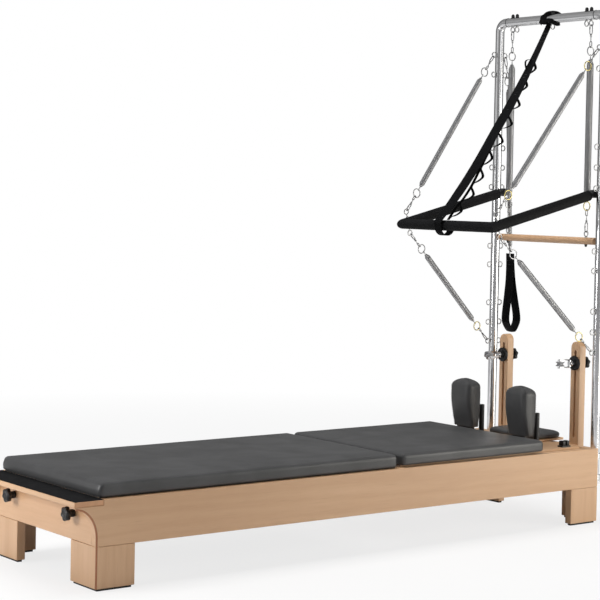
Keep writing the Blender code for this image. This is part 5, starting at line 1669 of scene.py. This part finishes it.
def offset_at(path, share):
    """How far the strap lies to the foot side at a share of the way."""
    for (before, low, _), (after, high, _) in zip(path, path[1:]):
        if before <= share <= after:
            return low + (high - low) * (share - before) / (after - before)
    return path[-1][1]


def sewn_to(start):
    """The path that a small loop is sewn to."""
    return chain_path if start > chain_share else band_path


def small_loop(placed, path, start, end, fullest, bulge):
    """One loop of narrow webbing, sewn down at both ends."""
    first = offset_at(path, start)
    last = offset_at(path, end)
    line = [placed(start - 0.007, first - 0.0016), placed(start, first - 0.0030),
            placed(start + (fullest - start) * 0.40, first + (bulge - first) * 0.62), placed(fullest, bulge),
            placed(fullest + (end - fullest) * 0.45, last + (bulge - last) * 0.74),
            placed(fullest + (end - fullest) * 0.82, last + (bulge - last) * 0.36),
            placed(end, last - 0.0030), placed(end + 0.007, last - 0.0016)]
    return curve_through(line, 5)


def make_safety_strap():
    """The strap from the crossbar to the push-through bar, with its chain of small loops."""
    sizes = bpy.context.scene.reformer_sizes
    top = Vector((tower_x, strap_y, tower_z))
    foot = Vector((tower_x - arm_reach, strap_y, pivot.z - arm_drop))
    way = (foot - top).normalized()
    length = (foot - top).length
    out = Vector((way.z, 0, -way.x))
    wide = Vector((0, 1, 0))
    thick = sizes.webbing

    def placed(share, offset, slip=0.0):
        return top + way * length * share + out * offset + wide * slip

    steps = 5
    hanging = band_path + bight_path
    band = curve_through([placed(share, offset) for share, offset, _ in hanging], steps)
    widths = [hanging[min(index // steps, len(hanging) - 1)][2] for index in range(len(band))]
    spans = [widths[max(index - 4, 0):index + 5] for index in range(len(widths))]
    widths = [sum(span) / len(span) for span in spans]
    chain = curve_through([placed(share, offset) for share, offset, _ in chain_path], steps)
    tab = curve_through([placed(share, offset, 0.010) for share, offset in small_tab], steps)
    wrap = [Vector((tower_x, wrap_y, tower_z))
            + (tube_radius + thick * 0.7) * (math.cos(a) * out + math.sin(a) * way)
            for a in [math.tau * step / 36 for step in range(37)]]
    crossing = Vector((tower_x, 0, tower_z))
    over, under = [curve_through([crossing + Vector((x, y, z)) for y, x, z in strand], steps)
                   for strand in (over_strand, under_strand)]
    level = Vector((0, 0, 1))
    routes = [(band, widths, thick, wide), (wrap, wrap_width, thick, wide),
              (chain, chain_width, thick, wide), (over, over_width, thick, level),
              (under, under_width, thick, level), (tab, tab_width, thick * 0.8, wide)]
    for start, end, fullest, bulge in chain_loops:
        path = sewn_to(start)
        loop = small_loop(placed, path, start, end, fullest, bulge)
        routes.append((loop, loop_width, thick * 0.8, wide))
    piece = ribbon("safety_strap_webbing", routes)
    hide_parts("safety_strap")
    rows = Shape()
    for start, end, fullest, bulge in chain_loops:
        path = sewn_to(start)
        for share in (start - 0.004, end + 0.004):
            row = placed(share, offset_at(path, share) + thick * 0.6)
            for step in range(5):
                place = row + wide * (step - 2) * 0.0028
                stitch_thread(rows, place, wide * 0.001, out * 0.0003, 0.00055)
    for share in (0.055, 0.075, 0.095):
        for step in range(9):
            place = placed(share, offset_at(band_path, share) + thick * 0.55, (step - 4) * 0.0035)
            stitch_thread(rows, place, wide * 0.0013, out * 0.0003, 0.0006)
    stitches = rows.make("safety_strap_stitches", "thread")
    for item in (piece, stitches):
        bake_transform(item)


# Studio

sky_strength = 0.10
dark_wall = (-0.617, -0.787, 0.0)
ceiling_tone = 0.36
# Tones of the mirrored studio, from the wall behind the reformer (0) to the dark wall before it (1)
studio_bands = ((0.0, 0.12), (0.20, 0.09), (0.34, 0.36), (0.50, 0.48), (0.60, 0.74), (0.74, 0.78),
                (0.86, 0.40), (0.94, 0.24), (1.0, 0.32))


def make_floor():
    size = 30.0
    shape = Shape()
    shape.add([(-size, -size, 0), (size, -size, 0), (size, size, 0), (-size, size, 0)], [(0, 1, 2, 3)])
    tools, shader = material("studio_floor", Base_Color=(0.80, 0.80, 0.80, 1.0), Roughness=0.6)
    place = tools.own_place()
    spread = tools.vector("LENGTH", place)
    far = tools.ramp(spread.outputs["Value"], 2.0, 5.0)
    glow = tools.node("ShaderNodeEmission", Color=(1.0, 1.0, 1.0, 1.0), Strength=1.0)
    path = tools.node("ShaderNodeLightPath")
    seen = tools.plus(path.outputs["Is Camera Ray"],
                      tools.times(path.outputs["Is Glossy Ray"], 0.18), True)
    glowing = tools.plus(tools.times(far, 0.22), 0.78)
    blend = tools.mix_shader(tools.times(glowing, seen), shader, glow)
    tools.feed(tools.tree.nodes["Material Output"].inputs["Surface"], blend)
    floor = shape.make("studio_floor", "studio_floor")


def make_world():
    """Soft daylight, seen as white, whose reflections hold the studio's light and dark walls."""
    world = bpy.data.worlds.new("studio")
    bpy.context.scene.world = world
    world.use_nodes = True
    tools = Tree(world.node_tree)
    base = world.node_tree.nodes["Background"]
    base.inputs["Color"].default_value = (0.9, 0.93, 1.0, 1.0)
    base.inputs["Strength"].default_value = sky_strength
    white = tools.node("ShaderNodeBackground", Color=(1.0, 1.0, 1.0, 1.0), Strength=1.0)
    aim = tools.node("ShaderNodeTexCoord").outputs["Generated"]
    level = tools.vector("MULTIPLY", aim, (1.0, 1.0, 0.0))
    bearing = tools.vector("NORMALIZE", level)
    facing = tools.vector("DOT_PRODUCT", bearing, dark_wall)
    rise = tools.math("ABSOLUTE", tools.node("ShaderNodeSeparateXYZ", Vector=aim).outputs["Z"])
    bands = tools.node("ShaderNodeValToRGB", Fac=tools.ramp(facing.outputs["Value"], -1.0, 1.0))
    while len(bands.color_ramp.elements) < len(studio_bands):
        bands.color_ramp.elements.new(0.5)
    for element, (place, tone) in zip(bands.color_ramp.elements, studio_bands):
        element.position = place
        element.color = (tone, tone, tone, 1.0)
    walls = tools.mix(tools.ramp(rise, 0.35, 0.75), bands.outputs[0], (*[ceiling_tone] * 3, 1.0))
    mirrored = tools.node("ShaderNodeBackground", Color=walls, Strength=1.0)
    path = tools.node("ShaderNodeLightPath")
    reflected = tools.mix_shader(path.outputs["Is Glossy Ray"], base, mirrored)
    seen = tools.math("MAXIMUM", path.outputs["Is Camera Ray"], path.outputs["Is Transmission Ray"])
    blend = tools.mix_shader(seen, reflected, white)
    tools.feed(world.node_tree.nodes["World Output"].inputs["Surface"], blend)


def lamp(name, place, target, size, power, colour=(1.0, 1.0, 1.0), matt_only=False):
    """A rectangular softbox. A matt-only one doesn't show in reflections."""
    light = bpy.data.lights.new(name, "AREA")
    light.shape = "RECTANGLE"
    light.size = size[0]
    light.size_y = size[1]
    light.energy = power
    light.color = colour
    item = bpy.data.objects.new(name, light)
    item.location = place
    way = Vector(target) - Vector(place)
    item.rotation_euler = way.to_track_quat("-Z", "Y").to_euler()
    item.visible_camera = False
    item.visible_glossy = not matt_only
    bpy.context.scene.collection.objects.link(item)


def make_lamps():
    lamp("foot_box", (-2.7, 0.5, 0.9), (-1.3, 0.0, 0.25), (0.8, 0.7), 20)
    lamp("head_box", (2.7, -2.6, 1.0), (1.0, -0.2, 0.65), (1.3, 1.75), 54, (1.0, 0.97, 0.89))
    lamp("near_fill", (-0.1, -5.6, 2.4), (0.2, 0.0, 0.5), (2.8, 2.4), 31)
    lamp("top", (0.0, 0.4, 4.4), (0, 0, 0), (4.0, 2.6), 204, matt_only=True)
    lamp("back_fill", (-3.2, 4.8, 2.6), (0.2, 0.0, 0.5), (3.0, 2.4), 70, matt_only=True)


# Camera: where it stands, the bearing and height it is seen at from the reformer, and its slight roll
camera_place = Vector((-4.1884, -5.5121, 1.3427))
camera_bearing = math.radians(-128.1454)
camera_elevation = math.radians(1.9025)
camera_roll = math.radians(1.1633)
camera_lens = 107.166
camera_shift = (-0.09466, -0.08022)


def make_camera():
    data = bpy.data.cameras.new("camera")
    data.lens = camera_lens
    data.sensor_width = 36.0
    data.shift_x, data.shift_y = camera_shift
    data.clip_end = 200.0
    item = bpy.data.objects.new("camera", data)
    side = Vector((-math.sin(camera_bearing), math.cos(camera_bearing), 0.0))
    outward = Vector((side.y, -side.x, 0.0))
    back = outward * math.cos(camera_elevation) + Vector((0.0, 0.0, math.sin(camera_elevation)))
    level_up = back.cross(side)
    right = side * math.cos(camera_roll) + level_up * math.sin(camera_roll)
    up = level_up * math.cos(camera_roll) - side * math.sin(camera_roll)
    item.matrix_world = Matrix.Translation(camera_place) @ Matrix((right, up, back)).transposed().to_4x4()
    bpy.context.scene.collection.objects.link(item)
    bpy.context.scene.camera = item


class REFORMER_OT_materials(Operator):
    """Makes the shader groups and the finishes"""
    bl_idname = "reformer.materials"
    bl_label = "Finishes"

    def execute(self, context):
        make_materials()
        return {"FINISHED"}


class REFORMER_OT_wood(Operator):
    """Finishes the wooden frame and its metal parts"""
    bl_idname = "reformer.wood"
    bl_label = "Wooden Frame"

    def execute(self, context):
        make_wood()
        return {"FINISHED"}


class REFORMER_OT_mats(Operator):
    """Makes the conversion mat and the carriage pad"""
    bl_idname = "reformer.mats"
    bl_label = "Mats"

    def execute(self, context):
        make_mats()
        return {"FINISHED"}


class REFORMER_OT_shoulder_rests(Operator):
    """Makes the shoulder cushions, their seams and brackets"""
    bl_idname = "reformer.shoulder_rests"
    bl_label = "Shoulder Rests"

    def execute(self, context):
        make_shoulder_rests()
        return {"FINISHED"}


class REFORMER_OT_headrest(Operator):
    """Makes the headrest cushion"""
    bl_idname = "reformer.headrest"
    bl_label = "Headrest"

    def execute(self, context):
        make_headrest()
        return {"FINISHED"}


class REFORMER_OT_carriage(Operator):
    """Makes the carriage's deck, posts, cleats, lugs and springs"""
    bl_idname = "reformer.carriage"
    bl_label = "Carriage"

    def execute(self, context):
        make_deck()
        make_carriage_springs()
        return {"FINISHED"}


class REFORMER_OT_knobs(Operator):
    """Makes the hubs and star knobs"""
    bl_idname = "reformer.knobs"
    bl_label = "Hubs and Knobs"

    def execute(self, context):
        make_hubs_and_knobs()
        return {"FINISHED"}


class REFORMER_OT_pulleys(Operator):
    """Makes the forked pulleys"""
    bl_idname = "reformer.pulleys"
    bl_label = "Pulleys"

    def execute(self, context):
        make_pulleys()
        return {"FINISHED"}


class REFORMER_OT_tower(Operator):
    """Makes the tower's tubes, eyebolts and nuts"""
    bl_idname = "reformer.tower"
    bl_label = "Tower"

    def execute(self, context):
        make_uprights()
        make_crossbar()
        return {"FINISHED"}


class REFORMER_OT_push_bar(Operator):
    """Makes the push-through bar and its foam"""
    bl_idname = "reformer.push_bar"
    bl_label = "Push-Through Bar"

    def execute(self, context):
        make_push_through_bar()
        return {"FINISHED"}


class REFORMER_OT_springs(Operator):
    """Makes the tower's springs, the roll-down bar and the hand loops"""
    bl_idname = "reformer.springs"
    bl_label = "Springs"

    def execute(self, context):
        make_bar_springs()
        make_roll_down_bar()
        make_arm_springs()
        return {"FINISHED"}


class REFORMER_OT_strap(Operator):
    """Makes the safety strap"""
    bl_idname = "reformer.strap"
    bl_label = "Safety Strap"

    def execute(self, context):
        make_safety_strap()
        return {"FINISHED"}


class REFORMER_OT_stage(Operator):
    """Makes the floor, the world, the lamps and the camera"""
    bl_idname = "reformer.stage"
    bl_label = "Stage"

    def execute(self, context):
        context.scene.view_settings.view_transform = "Standard"
        make_floor()
        make_world()
        make_lamps()
        make_camera()
        return {"FINISHED"}


steps = (REFORMER_OT_materials, REFORMER_OT_wood, REFORMER_OT_mats, REFORMER_OT_shoulder_rests,
         REFORMER_OT_headrest, REFORMER_OT_carriage, REFORMER_OT_knobs, REFORMER_OT_pulleys,
         REFORMER_OT_tower, REFORMER_OT_push_bar, REFORMER_OT_springs, REFORMER_OT_strap,
         REFORMER_OT_stage)


class REFORMER_PT_panel(Panel):
    """Lists the steps in the sidebar"""
    bl_idname = "REFORMER_PT_panel"
    bl_label = "Reformer"
    bl_space_type = "VIEW_3D"
    bl_region_type = "UI"
    bl_category = "Reformer"

    def draw(self, context):
        for step in steps:
            self.layout.operator(step.bl_idname)
        for group_name in ("reformer_sizes", "reformer_colours"):
            values = getattr(context.scene, group_name)
            for name in values.bl_rna.properties.keys():
                if name not in ("rna_type", "name"):
                    self.layout.prop(values, name)


classes = (ReformerSizes, ReformerColours, *steps, REFORMER_PT_panel)


def register():
    for item in classes:
        bpy.utils.register_class(item)
    bpy.types.Scene.reformer_sizes = PointerProperty(type=ReformerSizes)
    bpy.types.Scene.reformer_colours = PointerProperty(type=ReformerColours)


def unregister():
    del bpy.types.Scene.reformer_colours
    del bpy.types.Scene.reformer_sizes
    for item in reversed(classes):
        bpy.utils.unregister_class(item)


def clear_stage():
    """Removes the start-up cube, lamp and camera."""
    kept = set(frame["nodes"].values()) | set(frame["bodies"].values())
    for item in list(bpy.data.objects):
        if item not in kept:
            bpy.data.objects.remove(item, do_unlink=True)


def main():
    clear_stage()
    register()
    bpy.ops.reformer.materials()
    bpy.ops.reformer.wood()
    bpy.ops.reformer.mats()
    bpy.ops.reformer.shoulder_rests()
    bpy.ops.reformer.headrest()
    bpy.ops.reformer.carriage()
    bpy.ops.reformer.knobs()
    bpy.ops.reformer.pulleys()
    bpy.ops.reformer.tower()
    bpy.ops.reformer.push_bar()
    bpy.ops.reformer.springs()
    bpy.ops.reformer.strap()
    bpy.ops.reformer.stage()


if __name__ == "__main__":
    main()
